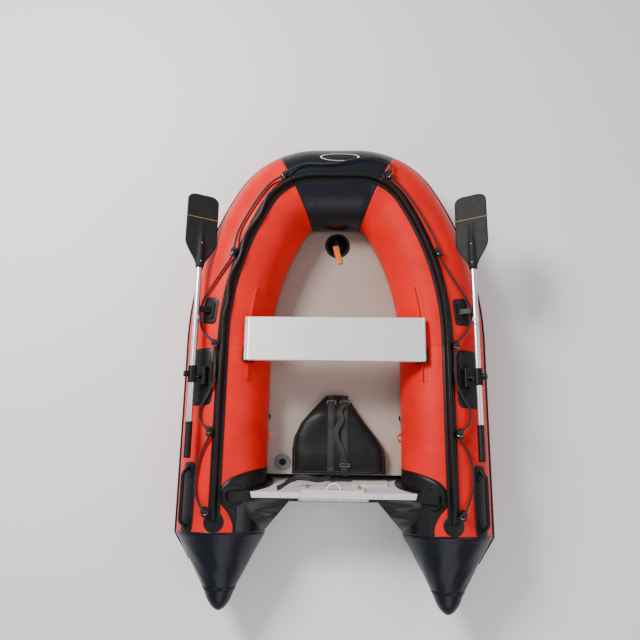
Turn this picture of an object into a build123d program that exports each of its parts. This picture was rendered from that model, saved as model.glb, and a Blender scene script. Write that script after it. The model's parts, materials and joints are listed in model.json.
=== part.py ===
from build123d import *
import os
from math import acos, asin, cos, degrees, radians, sin, sqrt, tan

os.makedirs("parts", exist_ok=True)

# Inflatable dinghy, millimetres. +X is starboard, +Y is the bow, +Z is up.
# The origin is the middle of the footprint, on the surface it rests on.

# ---- driving sizes -------------------------------------------------------
length = 2310.0          # cone tip to the rub strake at the bow
beam = 1524.0            # over both rub strakes
tube_d = 420.0           # air tube diameter
skin = 1.2               # coated fabric of the tubes and floor
glue = 0.3               # gap left for adhesive under anything stuck on
bow_flat = 108.0         # half width of the straight part of the bow
quarter_r = 1366.0       # centreline radius of the long bow curve
shoulder_r = 258.0       # centreline radius of the tight bow curve
bow_patch = 25.0         # degrees of the tight curve made in black
bow_rise = 5.3           # degrees that the bow tubes climb
rise_r = 300.0          # radius of the bend where they start to climb
cone_length = 340.0      # cone base to tip
cone_tip_r = 46.0
cone_tip_length = 43.0
cone_tip_lift = 26.0     # tip centre above the tube centre
cone_tip_in = 10.0       # tip centre inboard of the tube centre
strake_t = 12.0          # rub strake thickness
strake_h = 58.0
strake_tail = 120.0      # length of strake carried on to the cone

deck_t = 60.0            # air deck thickness
deck_bottom = 60.0       # height of its underside
deck_edge_r = 29.0
deck_skin = 1.5
deck_stem_r = 24.0
deck_valve_r = 41.0
deck_cap_r = 17.0
well_t = 3.0             # rubber of the keel valve well
well_flange = 10.0
keel_gap = 12.0
keel_nose = 60.0         # keel tube ahead of its valve
keel_valve_r = 20.0
keel_valve_h = 16.0
tab_w = 42.0
tab_length = 84.0
floor_skin = 1.5
floor_lift = 1.5         # hull fabric above the ground
keel_d = 50.0

transom_ahead = 275.0    # inner foot of the transom ahead of the cone base
transom_rake = 12.0
transom_t = 27.0
transom_top = 396.0      # height of its top edge
bolt_x = 122.0
bolt_low = 270.0
bolt_high = 352.0
bolt_r = 4.0
bolt_head_r = 9.0
bolt_head_t = 5.0
outer_pad_w = 330.0
outer_pad_h = 210.0
outer_pad_t = 14.0
inner_pad_x = 175.0
inner_pad_low = 125.0
inner_pad_w = 172.0
inner_pad_h = 128.0
inner_pad_t = 7.0
clamp_x = 0.0
clamp_w = 290.0
clamp_h = 95.0
clamp_t = 8.0
loop_r = 34.0
loop_t = 7.0
drain_x = -215.0
drain_high = 150.0
drain_r = 17.0
drain_plug_r = 12.0
drain_rim_t = 4.0
web_x = 192.0            # free corner of the fabric web
web_drop = 8.0
web_low = 225.0
web_t = 2.0
holder_seat = 12.0       # board edge to tube
holder_depth = 34.0      # how far the holder laps on to the board
holder_wall = 8.0
holder_in_x = 190.0
holder_out_x = 474.0
holder_disc_r = 57.0
holder_disc_t = 12.0
holder_disc_angle = 24.0

fin_base_w = 56.0        # tape under the spray fin
fin_w = 30.0
fin_h = 32.0
fin_top_w = 12.0
fin_end = 60.0           # aft end of the fin ahead of the cone base
fin_wall = 2.5
fin_patch_r = 46.0
patch_t = 1.5
strap_t = 2.0
strap_w = 26.0
lashing_y = -362.0
lashing_angle = 80.0
rowlock_patch = 138.0    # half lengths of the patches
handle_patch = 158.0
clip_patch = 62.0
handle_y = -652.0
handle_angle = 40.0
clip_angle = 22.0
clip_station = 6.6       # degrees round the long bow curve

ring_y = (-715.0, -353.0)         # rings on the straight tube
ring_turn = (0.0, 19.1, 60.0)     # and round the bow curves
ring_patch = 24.0
ring_patch_w = 30.0
ring_angle = 9.3
eye_w = 8.0
eye_h = 6.5
eye_r = 5.0
eye_gap = 0.6
ring_r = 14.0            # D-ring centreline radius
ring_wire = 4.0
ring_lean = 28.0         # degrees the rings lie over from upright
rope_d = 11.0
rope_bend = 26.0

rowlock_y = -93.0        # oar pin station
rowlock_angle = 20.0     # round the tube from its top, outboard
rowlock_height = 25.0    # hinge rod above the tube
rowlock_pin_angle = 30.0 # pin above level when stowed
rod_d = 10.0
barrel_d = 22.0
barrel_length = 62.0
pin_d = 12.0
pin_reach = 58.0         # rod to oar centreline
running_gap = 0.06
base_length = 150.0
base_w = 60.0
base_t = 6.0             # moulded feet of rowlocks and clips
lug_t = 12.0
post_reach = 21.0        # stop post under the pin
post_t = 9.0
post_w = 16.0
knob_r = 14.0
knob_h = 20.0
clip_length = 84.0
clip_base_w = 46.0
clip_w = 26.0
clip_t = 7.0
clip_h = 32.0

oar_front = 825.0        # blade tip station
oar_back = -480.0        # grip end station
oar_d = 28.0
oar_wall = 1.6
blade_length = 385.0
blade_w = 165.0
blade_t = 9.0
blade_broad = 250.0      # length of the full-width part
blade_corner = 46.0
socket_depth = 75.0
socket_r = 19.0
collar_d = 42.0
collar_length = 80.0
grip_d = 34.0
grip_length = 165.0

seat_w = 215.0
seat_length = 868.0
seat_t = 25.0
seat_wall = 2.5
seat_ribs = 4
seat_bottom = 414.0
seat_y = 90.0
track_angle = 33.0       # round the tube from its top, inboard
track_t = 4.0
track_band = 44.0
seat_corner = 30.0
seat_round = 6.0
shoe_w = 54.0
shoe_length = 72.0
shoe_back = 71.0         # shoes sit aft of the seat's middle
shoe_gap = 1.3
track_h = 13.0
track_front = 400.0
track_back = -105.0

valve_y = -262.0
valve_angle = 88.0       # round the tube from its top, inboard
valve_r = 24.0
valve_stem_r = 17.0
valve_cap_r = 14.0
valve_flange = 4.0
valve_depth = 22.0
cap_bar_h = 5.0
deck_valve_xy = (-260.0, -478.0)
keel_well = (8.0, 575.0)  # in the climbing bow plane
keel_well_r = 56.0

bag_length = 390.0
bag_front = -142.0
bag_nose_x = 8.0
bag_tail_x = 26.0
bag_tail_w = 470.0
bag_skin = 1.5
handle_foot = 122.0
handle_h = 34.0
handle_r = 9.0
bag_w = 460.0
bag_nose_w = 104.0
bag_h = 92.0

# the grab lines, from ring to ring
starboard_line = [
    (272.0, 900.0, 521.0),
    (312.0, 872.0, 505.0),
    (372.0, 790.0, 498.0),
    (430.0, 695.0, 489.0),
    (478.0, 605.0, 479.0),
    (498.0, 528.0, 493.0),
    (507.0, 494.0, 470.0),
    (548.0, 425.0, 460.0),
    (600.0, 350.0, 442.0),
    (650.0, 283.0, 415.0),
    (667.0, 222.0, 403.0),
    (646.0, 150.0, 414.0),
    (607.0, 98.0, 427.0),
    (579.0, 71.0, 450.0),
    (576.0, 36.0, 428.0),
    (569.0, -20.0, 432.0),
    (568.0, -110.0, 432.0),
    (602.0, -190.0, 425.0),
    (640.0, -245.0, 410.0),
    (628.0, -315.0, 415.0),
    (579.0, -342.0, 449.0),
    (576.0, -380.0, 430.0),
    (612.0, -425.0, 421.0),
    (640.0, -510.0, 410.0),
    (635.0, -600.0, 412.0),
    (610.0, -665.0, 422.0),
    (579.0, -720.0, 450.0),
]
port_line = [
    (-272.0, 900.0, 521.0),
    (-318.0, 890.0, 503.0),
    (-378.0, 815.0, 497.0),
    (-436.0, 720.0, 487.0),
    (-486.0, 625.0, 477.0),
    (-498.0, 528.0, 493.0),
    (-507.0, 494.0, 470.0),
    (-552.0, 430.0, 459.0),
    (-605.0, 350.0, 440.0),
    (-652.0, 285.0, 414.0),
    (-669.0, 215.0, 401.0),
    (-652.0, 140.0, 410.0),
    (-612.0, 94.0, 425.0),
    (-579.0, 71.0, 450.0),
    (-576.0, 36.0, 428.0),
    (-569.0, -20.0, 432.0),
    (-569.0, -115.0, 432.0),
    (-600.0, -195.0, 425.0),
    (-636.0, -245.0, 412.0),
    (-630.0, -315.0, 414.0),
    (-579.0, -342.0, 449.0),
    (-576.0, -380.0, 430.0),
    (-611.0, -437.0, 422.0),
    (-631.0, -527.0, 414.0),
    (-636.0, -616.0, 412.0),
    (-618.0, -680.0, 419.0),
    (-579.0, -720.0, 450.0),
]
bow_line = [
    (-261.0, 908.0, 529.0),
    (-205.0, 962.0, 508.0),
    (-140.0, 982.0, 508.0),
    (-60.0, 972.0, 510.0),
    (30.0, 987.0, 507.0),
    (110.0, 1012.0, 499.0),
    (190.0, 1024.0, 489.0),
    (258.0, 1008.0, 488.0),
    (284.0, 968.0, 503.0),
    (258.0, 914.0, 531.0),
]

# ---- places worked out from them ----------------------------------------
tube_r = tube_d / 2
centre_x = beam / 2 - strake_t - glue - tube_r
turn = degrees(acos((quarter_r - centre_x + bow_flat) / (quarter_r - shoulder_r)))
rise = radians(bow_rise)
reach = (quarter_r - shoulder_r) * sin(radians(turn)) + shoulder_r
bow_y = length / 2 - strake_t - glue - tube_r
rise_end = bow_y - reach * cos(rise)
rise_start = rise_end - rise_r * sin(rise)
rise_z = tube_r + rise_r * (1 - cos(rise))
cone_base = -length / 2 + cone_length

bow_plane = Plane(origin=(0, rise_end, rise_z), x_dir=(1, 0, 0), z_dir=(0, -sin(rise), cos(rise)))
quarter_hub = (centre_x - quarter_r, 0)
shoulder_hub = (bow_flat, (quarter_r - shoulder_r) * sin(radians(turn)))


def in_bow(x, y, z=0):
    """A point of the climbing bow plane, in the boat's frame."""
    return bow_plane.from_local_coords(Vector(x, y, z))


def arc_section(hub, radius, angle):
    """The section plane of a bow curve: x outboard, y up, centred in the tube."""
    a = radians(angle)
    place = in_bow(hub[0] + radius * cos(a), hub[1] + radius * sin(a))
    outboard = in_bow(cos(a), sin(a)) - in_bow(0, 0)
    aft = in_bow(sin(a), -cos(a)) - in_bow(0, 0)
    return Plane(origin=place, x_dir=outboard, z_dir=aft)


def hub_axis(hub):
    return Axis(in_bow(*hub), bow_plane.z_dir)


def straight_section(y):
    return Plane(origin=(centre_x, y, tube_r), x_dir=(1, 0, 0), z_dir=(0, -1, 0))


class Stretch:
    """One length of the starboard tube: straight, or a turn about an axis."""

    def __init__(self, section, run=None, axis=None, angle=None):
        self.section = section
        self.run = run
        self.axis = axis
        self.angle = angle


def side_stretch(start):
    return Stretch(straight_section(start), run=rise_start - start)


rise_axis = Axis((0, rise_start, tube_r + rise_r), (1, 0, 0))
rise_stretch = Stretch(straight_section(rise_start), axis=rise_axis, angle=bow_rise)
quarter_stretch = Stretch(arc_section(quarter_hub, quarter_r, 0), axis=hub_axis(quarter_hub), angle=turn)
shoulder_turn = 90 - bow_patch - turn
shoulder_stretch = Stretch(
    arc_section(shoulder_hub, shoulder_r, turn), axis=hub_axis(shoulder_hub), angle=shoulder_turn
)
patch_stretch = Stretch(
    arc_section(shoulder_hub, shoulder_r, 90 - bow_patch), axis=hub_axis(shoulder_hub), angle=bow_patch
)
bow_stretch = Stretch(arc_section(shoulder_hub, shoulder_r, 90), run=bow_flat)


def follow(profile, stretches, both=False):
    """Carries a section profile along the tube; both adds its port mirror image."""
    with BuildPart() as body:
        for stretch in stretches:
            with BuildSketch(stretch.section):
                profile()
            if stretch.axis is None:
                extrude(amount=-stretch.run)
            else:
                revolve(axis=stretch.axis, revolution_arc=stretch.angle)
        if both:
            mirror(about=Plane.YZ)
    return body.part


def on_tube(y, angle, height=0.0):
    """A plane on the straight starboard tube: z away from it, x forward."""
    a = radians(angle)
    distance = tube_r + height
    place = (centre_x + distance * sin(a), y, tube_r + distance * cos(a))
    return Plane(origin=place, x_dir=(0, 1, 0), z_dir=(sin(a), 0, cos(a)))


def on_bow(section, angle, height=0.0):
    """The same, on a section plane of the bow."""
    a = radians(angle)
    outward = section.x_dir * sin(a) + section.y_dir * cos(a)
    return Plane(origin=section.origin + outward * (tube_r + height), x_dir=-section.z_dir, z_dir=outward)


def save(part, name):
    part.label = name
    export_step(part, f"parts/{name}.step")


def save_pair(part, name):
    """Writes the starboard piece and its port mirror image as two nodes."""
    save(part, f"starboard_{name}")
    save(part.mirror(Plane.YZ), f"port_{name}")


def save_both(part, name):
    """Writes a starboard piece and its port mirror image as one node."""
    with BuildPart() as pair:
        add(part)
        mirror(about=Plane.YZ)
    save(pair.part, name)


# ---- air tubes -----------------------------------------------------------
def tube_profile():
    Circle(tube_r)
    Circle(tube_r - skin, mode=Mode.SUBTRACT)


tube_valve_plane = on_tube(valve_y, -valve_angle)
with BuildPart() as side_tube:
    add(follow(tube_profile, [side_stretch(cone_base), rise_stretch]))
    with BuildSketch(tube_valve_plane.offset(-20)):
        Circle(valve_stem_r + glue)
    extrude(amount=40, mode=Mode.SUBTRACT)
save_pair(side_tube.part, "side_tube")
save_pair(follow(tube_profile, [quarter_stretch]), "bow_quarter")
save_pair(follow(tube_profile, [shoulder_stretch]), "bow_shoulder")
save(follow(tube_profile, [patch_stretch, bow_stretch], both=True), "bow_tube")

tip_base = cone_base - cone_length + cone_tip_length
tip_x = centre_x - cone_tip_in
tip_z = tube_r + cone_tip_lift


def cone_solid(inset):
    """The starboard stern cone as a full solid, its surface drawn in by inset."""
    with BuildPart() as cone:
        with BuildSketch(straight_section(cone_base)):
            Circle(tube_r - inset)
        with BuildSketch(Plane(origin=(tip_x, tip_base, tip_z), x_dir=(1, 0, 0), z_dir=(0, -1, 0))):
            Circle(cone_tip_r - inset)
        loft()
    return cone.part


with BuildPart() as stern_cone:
    add(cone_solid(0))
    add(cone_solid(skin), mode=Mode.SUBTRACT)
save_pair(stern_cone.part, "stern_cone")

with BuildPart() as cone_tip:
    with BuildSketch(Plane(origin=(tip_x, tip_base, tip_z), x_dir=(0, -1, 0), z_dir=(0, 0, 1))):
        Ellipse(cone_tip_length, cone_tip_r)
        Rectangle(cone_tip_length, cone_tip_r, align=(Align.MIN, Align.MIN), mode=Mode.INTERSECT)
    revolve(axis=Axis((tip_x, tip_base, tip_z), (0, 1, 0)))
save_both(cone_tip.part, "cone_tips")

baffle_y = rise_start - 120.0
baffle_bulge = 60.0
with BuildPart() as baffle:
    with BuildSketch(Plane(origin=(centre_x, baffle_y, tube_r), x_dir=(0, 1, 0), z_dir=(0, 0, 1))):
        rim = tube_r - skin - glue
        with BuildLine():
            Polyline((0, rim), (skin, rim), (baffle_bulge + skin, 0), (baffle_bulge, 0), (0, rim))
        make_face()
    revolve(axis=Axis((centre_x, baffle_y, tube_r), (0, 1, 0)))
save_both(baffle.part, "tube_baffles")


# ---- floor: hull fabric, keel, air deck ----------------------------------
def bow_sheet(offset, low, thickness, edge):
    """The floor between the bow tubes' centrelines, drawn in by offset."""
    quarter = quarter_r - offset
    shoulder = shoulder_r - offset
    top = shoulder_hub[1] + shoulder
    with BuildPart() as sheet:
        with BuildSketch(bow_plane.offset(low - tube_r)):
            with BuildLine():
                CenterArc(quarter_hub, quarter, 0, turn)
                CenterArc(shoulder_hub, shoulder, turn, 90 - turn)
                Polyline((bow_flat, top), (0, top), (0, 0), (centre_x - offset, 0))
            make_face()
            mirror(about=Plane.YZ)
        extrude(amount=thickness)
        if edge:
            faces = sheet.faces().sort_by(Axis(bow_plane.origin, bow_plane.z_dir))
            rims = faces[0].edges() + faces[-1].edges()
            fillet([rim for rim in rims if abs(bow_plane.to_local_coords(rim @ 0.5).Y) > 1], edge)
    return sheet.part


def floor_solid(offset, low, thickness, back, edge=0.0):
    """A flat floor that turns up with the bow; low is its underside at the stern."""
    half_width = centre_x - offset
    with BuildPart() as floor:
        for start in (back, rise_start):
            with BuildSketch(Plane(origin=(0, start, low + thickness / 2), x_dir=(1, 0, 0), z_dir=(0, -1, 0))):
                if edge:
                    RectangleRounded(2 * half_width, thickness, edge)
                else:
                    Rectangle(2 * half_width, thickness)
            if start == back:
                extrude(amount=back - rise_start)
            else:
                revolve(axis=rise_axis, revolution_arc=bow_rise)
        add(bow_sheet(offset, low, thickness, edge))
    return floor.part


floor_side = 40.0        # hull fabric edge inboard of the tube centre
floor_back = cone_base + transom_ahead - 130.0
save(floor_solid(floor_side, floor_lift, floor_skin, floor_back), "hull_bottom")

deck_gap = 0.6
deck_top = deck_bottom + deck_t
deck_rise = tube_r - deck_bottom - deck_t / 2
deck_offset = sqrt((tube_r + deck_gap + deck_edge_r) ** 2 - deck_rise**2) - deck_edge_r
deck_back = cone_base + transom_ahead + 4.0
bow_deck = bow_plane.offset(deck_top - tube_r)
inner_edge = deck_edge_r - deck_skin
inside = (deck_offset + deck_skin, deck_bottom + deck_skin, deck_t - 2 * deck_skin, deck_back + deck_skin)
with BuildPart() as air_deck:
    add(floor_solid(deck_offset, deck_bottom, deck_t, deck_back, deck_edge_r))
    add(floor_solid(*inside, inner_edge), mode=Mode.SUBTRACT)
    with BuildSketch(Plane.XY.offset(deck_top)):
        with Locations(deck_valve_xy):
            Circle(deck_stem_r + glue)
    extrude(amount=-2 * deck_skin, mode=Mode.SUBTRACT)
    with BuildSketch(bow_deck):
        with Locations(keel_well):
            Circle(keel_well_r)
    extrude(amount=-deck_t, mode=Mode.SUBTRACT)
with BuildPart() as well_wall:
    with BuildSketch(bow_deck.offset(-glue)):
        with Locations(keel_well):
            Circle(keel_well_r - glue)
            Circle(keel_well_r - glue - well_t, mode=Mode.SUBTRACT)
    extrude(amount=2 * glue - deck_t)
    with BuildSketch(bow_deck.offset(glue)):
        with Locations(keel_well):
            Circle(keel_well_r + well_flange)
            Circle(keel_well_r - glue - well_t, mode=Mode.SUBTRACT)
    extrude(amount=well_t)
    with BuildSketch(bow_deck.offset(glue)):
        with Locations(keel_well):
            Circle(keel_well_r - glue)
            Circle(keel_well_r - glue - well_t, mode=Mode.SUBTRACT)
    extrude(amount=-2 * glue)
save(air_deck.part, "air_deck")
save(well_wall.part, "keel_well_ring")

keel_front = keel_well[1] + keel_nose
keel_z = floor_lift + floor_skin + glue + keel_d / 2
keel_back = deck_back + keel_gap


def keel_solid(inset):
    """The keel tube as a full solid, drawn in all over by inset."""
    radius = keel_d / 2 - inset
    with BuildPart() as keel:
        with BuildSketch(Plane(origin=(0, keel_back + inset, keel_z), x_dir=(1, 0, 0), z_dir=(0, -1, 0))):
            Circle(radius)
        extrude(amount=keel_back + inset - rise_start)
        with BuildSketch(Plane(origin=(0, rise_start, keel_z), x_dir=(1, 0, 0), z_dir=(0, -1, 0))):
            Circle(radius)
        revolve(axis=rise_axis, revolution_arc=bow_rise)
        with BuildSketch(Plane(origin=in_bow(0, 0, keel_z - tube_r), x_dir=(1, 0, 0), z_dir=-bow_plane.y_dir)):
            Circle(radius)
        extrude(amount=inset - keel_front)
    return keel.part


with BuildPart() as keel_tube:
    add(keel_solid(0))
    add(keel_solid(skin), mode=Mode.SUBTRACT)


# ---- valves --------------------------------------------------------------
def valve_body(plane, flange_r, stem_r, cap_r, depth):
    """A flanged valve let into the fabric: its seat is bored for the cap."""
    with BuildPart() as body:
        with BuildSketch(plane.offset(glue)):
            Circle(flange_r)
        extrude(amount=valve_flange)
        fillet(body.faces().sort_by(Axis(plane.origin, plane.z_dir))[-1].edges(), valve_flange / 2)
        with BuildSketch(plane.offset(glue)):
            Circle(stem_r)
        extrude(amount=-depth)
        with BuildSketch(plane.offset(glue - depth + 2)):
            Circle(cap_r + running_gap)
        extrude(amount=depth + valve_flange, mode=Mode.SUBTRACT)
    return body.part


def valve_cap(plane, cap_r, depth):
    """The plug that turns in the seat, with a finger bar across its face."""
    top = glue + valve_flange + 1.5
    with BuildPart() as cap:
        with BuildSketch(plane.offset(glue - depth + 3)):
            Circle(cap_r)
        extrude(amount=top - (glue - depth + 3))
        with BuildSketch(plane.offset(top)):
            SlotOverall(2 * cap_r - 4, 6)
        extrude(amount=cap_bar_h)
    return cap.part


deck_valve_plane = Plane(origin=(*deck_valve_xy, deck_top))
save(valve_body(deck_valve_plane, deck_valve_r, deck_stem_r, deck_cap_r, valve_depth), "deck_valve_body")
save(valve_cap(deck_valve_plane, deck_cap_r, valve_depth), "deck_valve_cap")

save_both(valve_body(tube_valve_plane, valve_r, valve_stem_r, valve_cap_r, valve_depth), "tube_valve_bodies")
save_pair(valve_cap(tube_valve_plane, valve_cap_r, valve_depth), "valve_cap")

keel_top = in_bow(*keel_well, keel_z + keel_d / 2 - tube_r)
keel_valve_plane = Plane(origin=keel_top, x_dir=(1, 0, 0), z_dir=bow_plane.z_dir)
with BuildPart() as keel_valve:
    add(keel_tube.part)
    with BuildSketch(keel_valve_plane.offset(-skin)):
        Circle(keel_valve_r)
    extrude(amount=keel_valve_h + skin)
    with BuildSketch(keel_valve_plane.offset(2)):
        Circle(valve_cap_r + running_gap)
    extrude(amount=keel_valve_h, mode=Mode.SUBTRACT)
save(keel_valve.part, "keel_tube")
with BuildPart() as keel_cap:
    with BuildSketch(keel_valve_plane.offset(2 * glue + 2)):
        Circle(valve_cap_r)
    extrude(amount=keel_valve_h)
    with BuildSketch(keel_valve_plane.offset(glue + 2 + keel_valve_h)):
        SlotOverall(2 * valve_cap_r - 4, 6)
    extrude(amount=cap_bar_h)
save(keel_cap.part, "keel_valve_cap")

with BuildPart() as pull_tab:
    with BuildSketch(bow_deck.offset(2 * glue + well_t)):
        with Locations((keel_well[0] + 4, keel_well[1] - keel_well_r)):
            RectangleRounded(tab_w, tab_length, 5)
    extrude(amount=2.0)
save(pull_tab.part, "keel_pull_tab")


# ---- transom -------------------------------------------------------------
rake = radians(transom_rake)
transom_y = cone_base + transom_ahead
transom_plane = Plane(origin=(0, transom_y, 0), x_dir=(1, 0, 0), z_dir=(0, -cos(rake), -sin(rake)))
board_foot = (floor_lift + floor_skin + glue + transom_t * sin(rake)) / cos(rake)
board_top = transom_top / cos(rake)
bolt_spots = [(side * bolt_x, high) for side in (-1, 1) for high in (bolt_low, bolt_high)]


def tube_bar(radius, middle=transom_y):
    """A full bar on the starboard tube's axis, well past middle both ways."""
    with BuildPart() as bar:
        with BuildSketch(straight_section(middle - 320)):
            Circle(radius)
        extrude(amount=-640)
    return bar.part


with BuildPart() as board:
    with BuildSketch(transom_plane):
        with Locations((0, board_foot)):
            Rectangle(2 * centre_x, board_top - board_foot, align=(Align.CENTER, Align.MIN))
    extrude(amount=transom_t)
    add(tube_bar(tube_r + holder_seat), mode=Mode.SUBTRACT)
    add(tube_bar(tube_r + holder_seat).mirror(Plane.YZ), mode=Mode.SUBTRACT)
    with BuildSketch(transom_plane):
        with Locations(*bolt_spots):
            Circle(bolt_r + glue)
        with Locations((drain_x, drain_high)):
            Circle(drain_r + glue)
    extrude(amount=transom_t, mode=Mode.SUBTRACT)
save(board.part, "transom_board")

nut_seat = transom_t + glue + outer_pad_t - 9
with BuildPart() as outer_pad:
    with BuildSketch(transom_plane.offset(transom_t + glue)):
        with Locations((0, board_top - 8)):
            RectangleRounded(outer_pad_w, outer_pad_h, 18, align=(Align.CENTER, Align.MAX))
        with Locations(*bolt_spots):
            Circle(bolt_r + glue, mode=Mode.SUBTRACT)
    extrude(amount=outer_pad_t)
    outer_face = outer_pad.faces().sort_by(Axis(transom_plane.origin, transom_plane.z_dir))[-1]
    chamfer(outer_face.outer_wire().edges(), 3)
    with BuildSketch(transom_plane.offset(nut_seat)):
        with Locations(*bolt_spots):
            Circle(bolt_head_r + 1.5)
    extrude(amount=outer_pad_t, mode=Mode.SUBTRACT)
save(outer_pad.part, "outer_motor_pad")

with BuildPart() as inner_pad:
    with BuildSketch(transom_plane.offset(-glue)):
        with Locations((inner_pad_x, inner_pad_low)):
            RectangleRounded(inner_pad_w, inner_pad_h, 8, align=(Align.CENTER, Align.MIN))
    extrude(amount=-inner_pad_t)
save(inner_pad.part, "inner_motor_pad")

with BuildPart() as clamp_plate:
    with BuildSketch(transom_plane.offset(-glue)):
        with Locations((clamp_x, board_top - 6)):
            RectangleRounded(clamp_w, clamp_h, 9, align=(Align.CENTER, Align.MAX))
        with Locations(*[spot for spot in bolt_spots if spot[1] == bolt_high]):
            Circle(bolt_r + glue, mode=Mode.SUBTRACT)
    extrude(amount=-clamp_t)
    with BuildSketch(Plane(origin=transom_plane.from_local_coords((clamp_x, board_top - 16, -glue - clamp_t)),
                           x_dir=(1, 0, 0), z_dir=transom_plane.y_dir)):
        Circle(loop_r)
        Circle(loop_r - loop_t, mode=Mode.SUBTRACT)
        Rectangle(2 * loop_r, loop_r, align=(Align.CENTER, Align.MIN), mode=Mode.INTERSECT)
    extrude(amount=-loop_t)
save(clamp_plate.part, "clamp_plate")

with BuildPart() as bolts:
    for spot in bolt_spots:
        inner = -glue - clamp_t if spot[1] == bolt_high else 0.0
        with BuildSketch(transom_plane.offset(inner - glue - bolt_head_t)):
            with Locations(spot):
                Circle(bolt_head_r)
        extrude(amount=bolt_head_t)
        with BuildSketch(transom_plane.offset(inner - glue - 1)):
            with Locations(spot):
                Circle(bolt_r)
        extrude(amount=transom_t + outer_pad_t - inner)
        with BuildSketch(transom_plane.offset(nut_seat + glue)):
            with Locations(spot):
                RegularPolygon(bolt_head_r, 6)
        extrude(amount=bolt_head_t + 2)
save(bolts.part, "transom_bolts")

with BuildPart() as drain:
    with BuildSketch(transom_plane.offset(-glue - drain_rim_t)):
        with Locations((drain_x, drain_high)):
            Circle(drain_r + 8)
    extrude(amount=drain_rim_t)
    with BuildSketch(transom_plane.offset(-glue - 1)):
        with Locations((drain_x, drain_high)):
            Circle(drain_r)
    extrude(amount=transom_t + 4)
    with BuildSketch(transom_plane.offset(-glue - drain_rim_t)):
        with Locations((drain_x, drain_high)):
            Circle(drain_plug_r + running_gap)
    extrude(amount=transom_t + 10, mode=Mode.SUBTRACT)
save(drain.part, "drain_socket")

with BuildPart() as plug:
    with BuildSketch(transom_plane.offset(-2 * glue - drain_rim_t)):
        with Locations((drain_x, drain_high)):
            Circle(drain_plug_r + 5)
    extrude(amount=-3)
    with BuildSketch(transom_plane.offset(-2 * glue - drain_rim_t - 1)):
        with Locations((drain_x, drain_high)):
            Circle(drain_plug_r)
    extrude(amount=transom_t + 4)
    with BuildSketch(transom_plane.offset(-2 * glue - drain_rim_t - 3)):
        with Locations((drain_x, drain_high)):
            SlotOverall(2 * drain_plug_r + 4, 5)
    extrude(amount=-9)
save(plug.part, "drain_plug")

holder_t = transom_t + 2 * holder_wall
disc_y = transom_plane.from_local_coords((0, board_top, transom_t / 2)).Y
with BuildPart() as holder:
    with BuildSketch(transom_plane.offset(-holder_wall)):
        with Locations((holder_in_x, board_foot + holder_wall)):
            Rectangle(holder_out_x - holder_in_x, board_top + 55, align=(Align.MIN, Align.MIN))
    extrude(amount=holder_t)
    add(tube_bar(tube_r + holder_depth), mode=Mode.INTERSECT)
    with BuildSketch(on_tube(disc_y, -holder_disc_angle, -20)):
        Circle(holder_disc_r)
    extrude(amount=20 + holder_disc_t)
    with BuildPart(mode=Mode.PRIVATE) as channel:
        with BuildSketch(transom_plane.offset(-glue)):
            with Locations((0, 0)):
                Rectangle(2 * centre_x, board_top + 1, align=(Align.CENTER, Align.MIN))
        extrude(amount=transom_t + 2 * glue)
        add(tube_bar(tube_r + holder_seat - glue), mode=Mode.SUBTRACT)
    add(channel.part, mode=Mode.SUBTRACT)
    add(tube_bar(tube_r + glue), mode=Mode.SUBTRACT)
save_both(holder.part, "transom_holders")

web_corners = [
    transom_plane.from_local_coords((web_x, board_top - web_drop, transom_t + glue)),
    transom_plane.from_local_coords((centre_x, board_top - web_drop, transom_t + glue)),
    Vector(centre_x - 100, cone_base - 12, web_low),
]
web_x_dir = (web_corners[1] - web_corners[0]).normalized()
web_plane = Plane(
    origin=web_corners[0], x_dir=web_x_dir, z_dir=web_x_dir.cross(web_corners[2] - web_corners[0])
)
web_outline = [web_plane.to_local_coords(corner) for corner in web_corners]
with BuildPart() as web:
    with BuildSketch(web_plane):
        with BuildLine():
            Polyline(*[(corner.X, corner.Y) for corner in web_outline], close=True)
        make_face()
    extrude(amount=web_t)
    add(tube_bar(tube_r + 3 * glue), mode=Mode.SUBTRACT)
    with BuildSketch(transom_plane.offset(-holder_wall - glue)):
        with Locations((holder_in_x - 40, 0)):
            Rectangle(2 * centre_x, 2 * board_top, align=(Align.MIN, Align.MIN))
    extrude(amount=holder_t + 2 * glue, mode=Mode.SUBTRACT)
    with BuildSketch(on_tube(disc_y, -holder_disc_angle, -20)):
        Circle(holder_disc_r + 2 * glue)
    extrude(amount=60, mode=Mode.SUBTRACT)
save_both(web.part, "transom_webs")


# ---- spray fins and rub strake ------------------------------------------
def fin_profile():
    Circle(tube_r + glue + patch_t)
    Circle(tube_r + glue, mode=Mode.SUBTRACT)
    with Locations((0, tube_r)):
        Rectangle(fin_base_w, 40, mode=Mode.INTERSECT)
    foot = tube_r + glue + patch_t / 2
    crest = foot + fin_h
    half = fin_w / 2
    tip = fin_top_w / 2
    Polygon((-half, foot), (half, foot), (tip, crest), (-tip, crest), align=None)
    foot = foot + fin_wall
    crest = crest - fin_wall
    half = half - fin_wall - 1
    tip = tip - fin_wall
    Polygon((-half, foot), (half, foot), (tip, crest), (-tip, crest), align=None, mode=Mode.SUBTRACT)


fin_back = cone_base + fin_end
save_pair(follow(fin_profile, [side_stretch(fin_back), rise_stretch, quarter_stretch, shoulder_stretch]), "top_fin")
save(follow(fin_profile, [patch_stretch, bow_stretch], both=True), "bow_fin")


def strake_profile():
    with Locations((tube_r + glue, 0)):
        RectangleRounded(strake_t, strake_h, strake_t / 2 - 0.5, align=(Align.MIN, Align.CENTER))
    Circle(tube_r + glue, mode=Mode.SUBTRACT)


strake_run = [side_stretch(cone_base), rise_stretch, quarter_stretch, shoulder_stretch, patch_stretch, bow_stretch]
save(follow(strake_profile, strake_run, both=True), "rub_strake")


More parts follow.
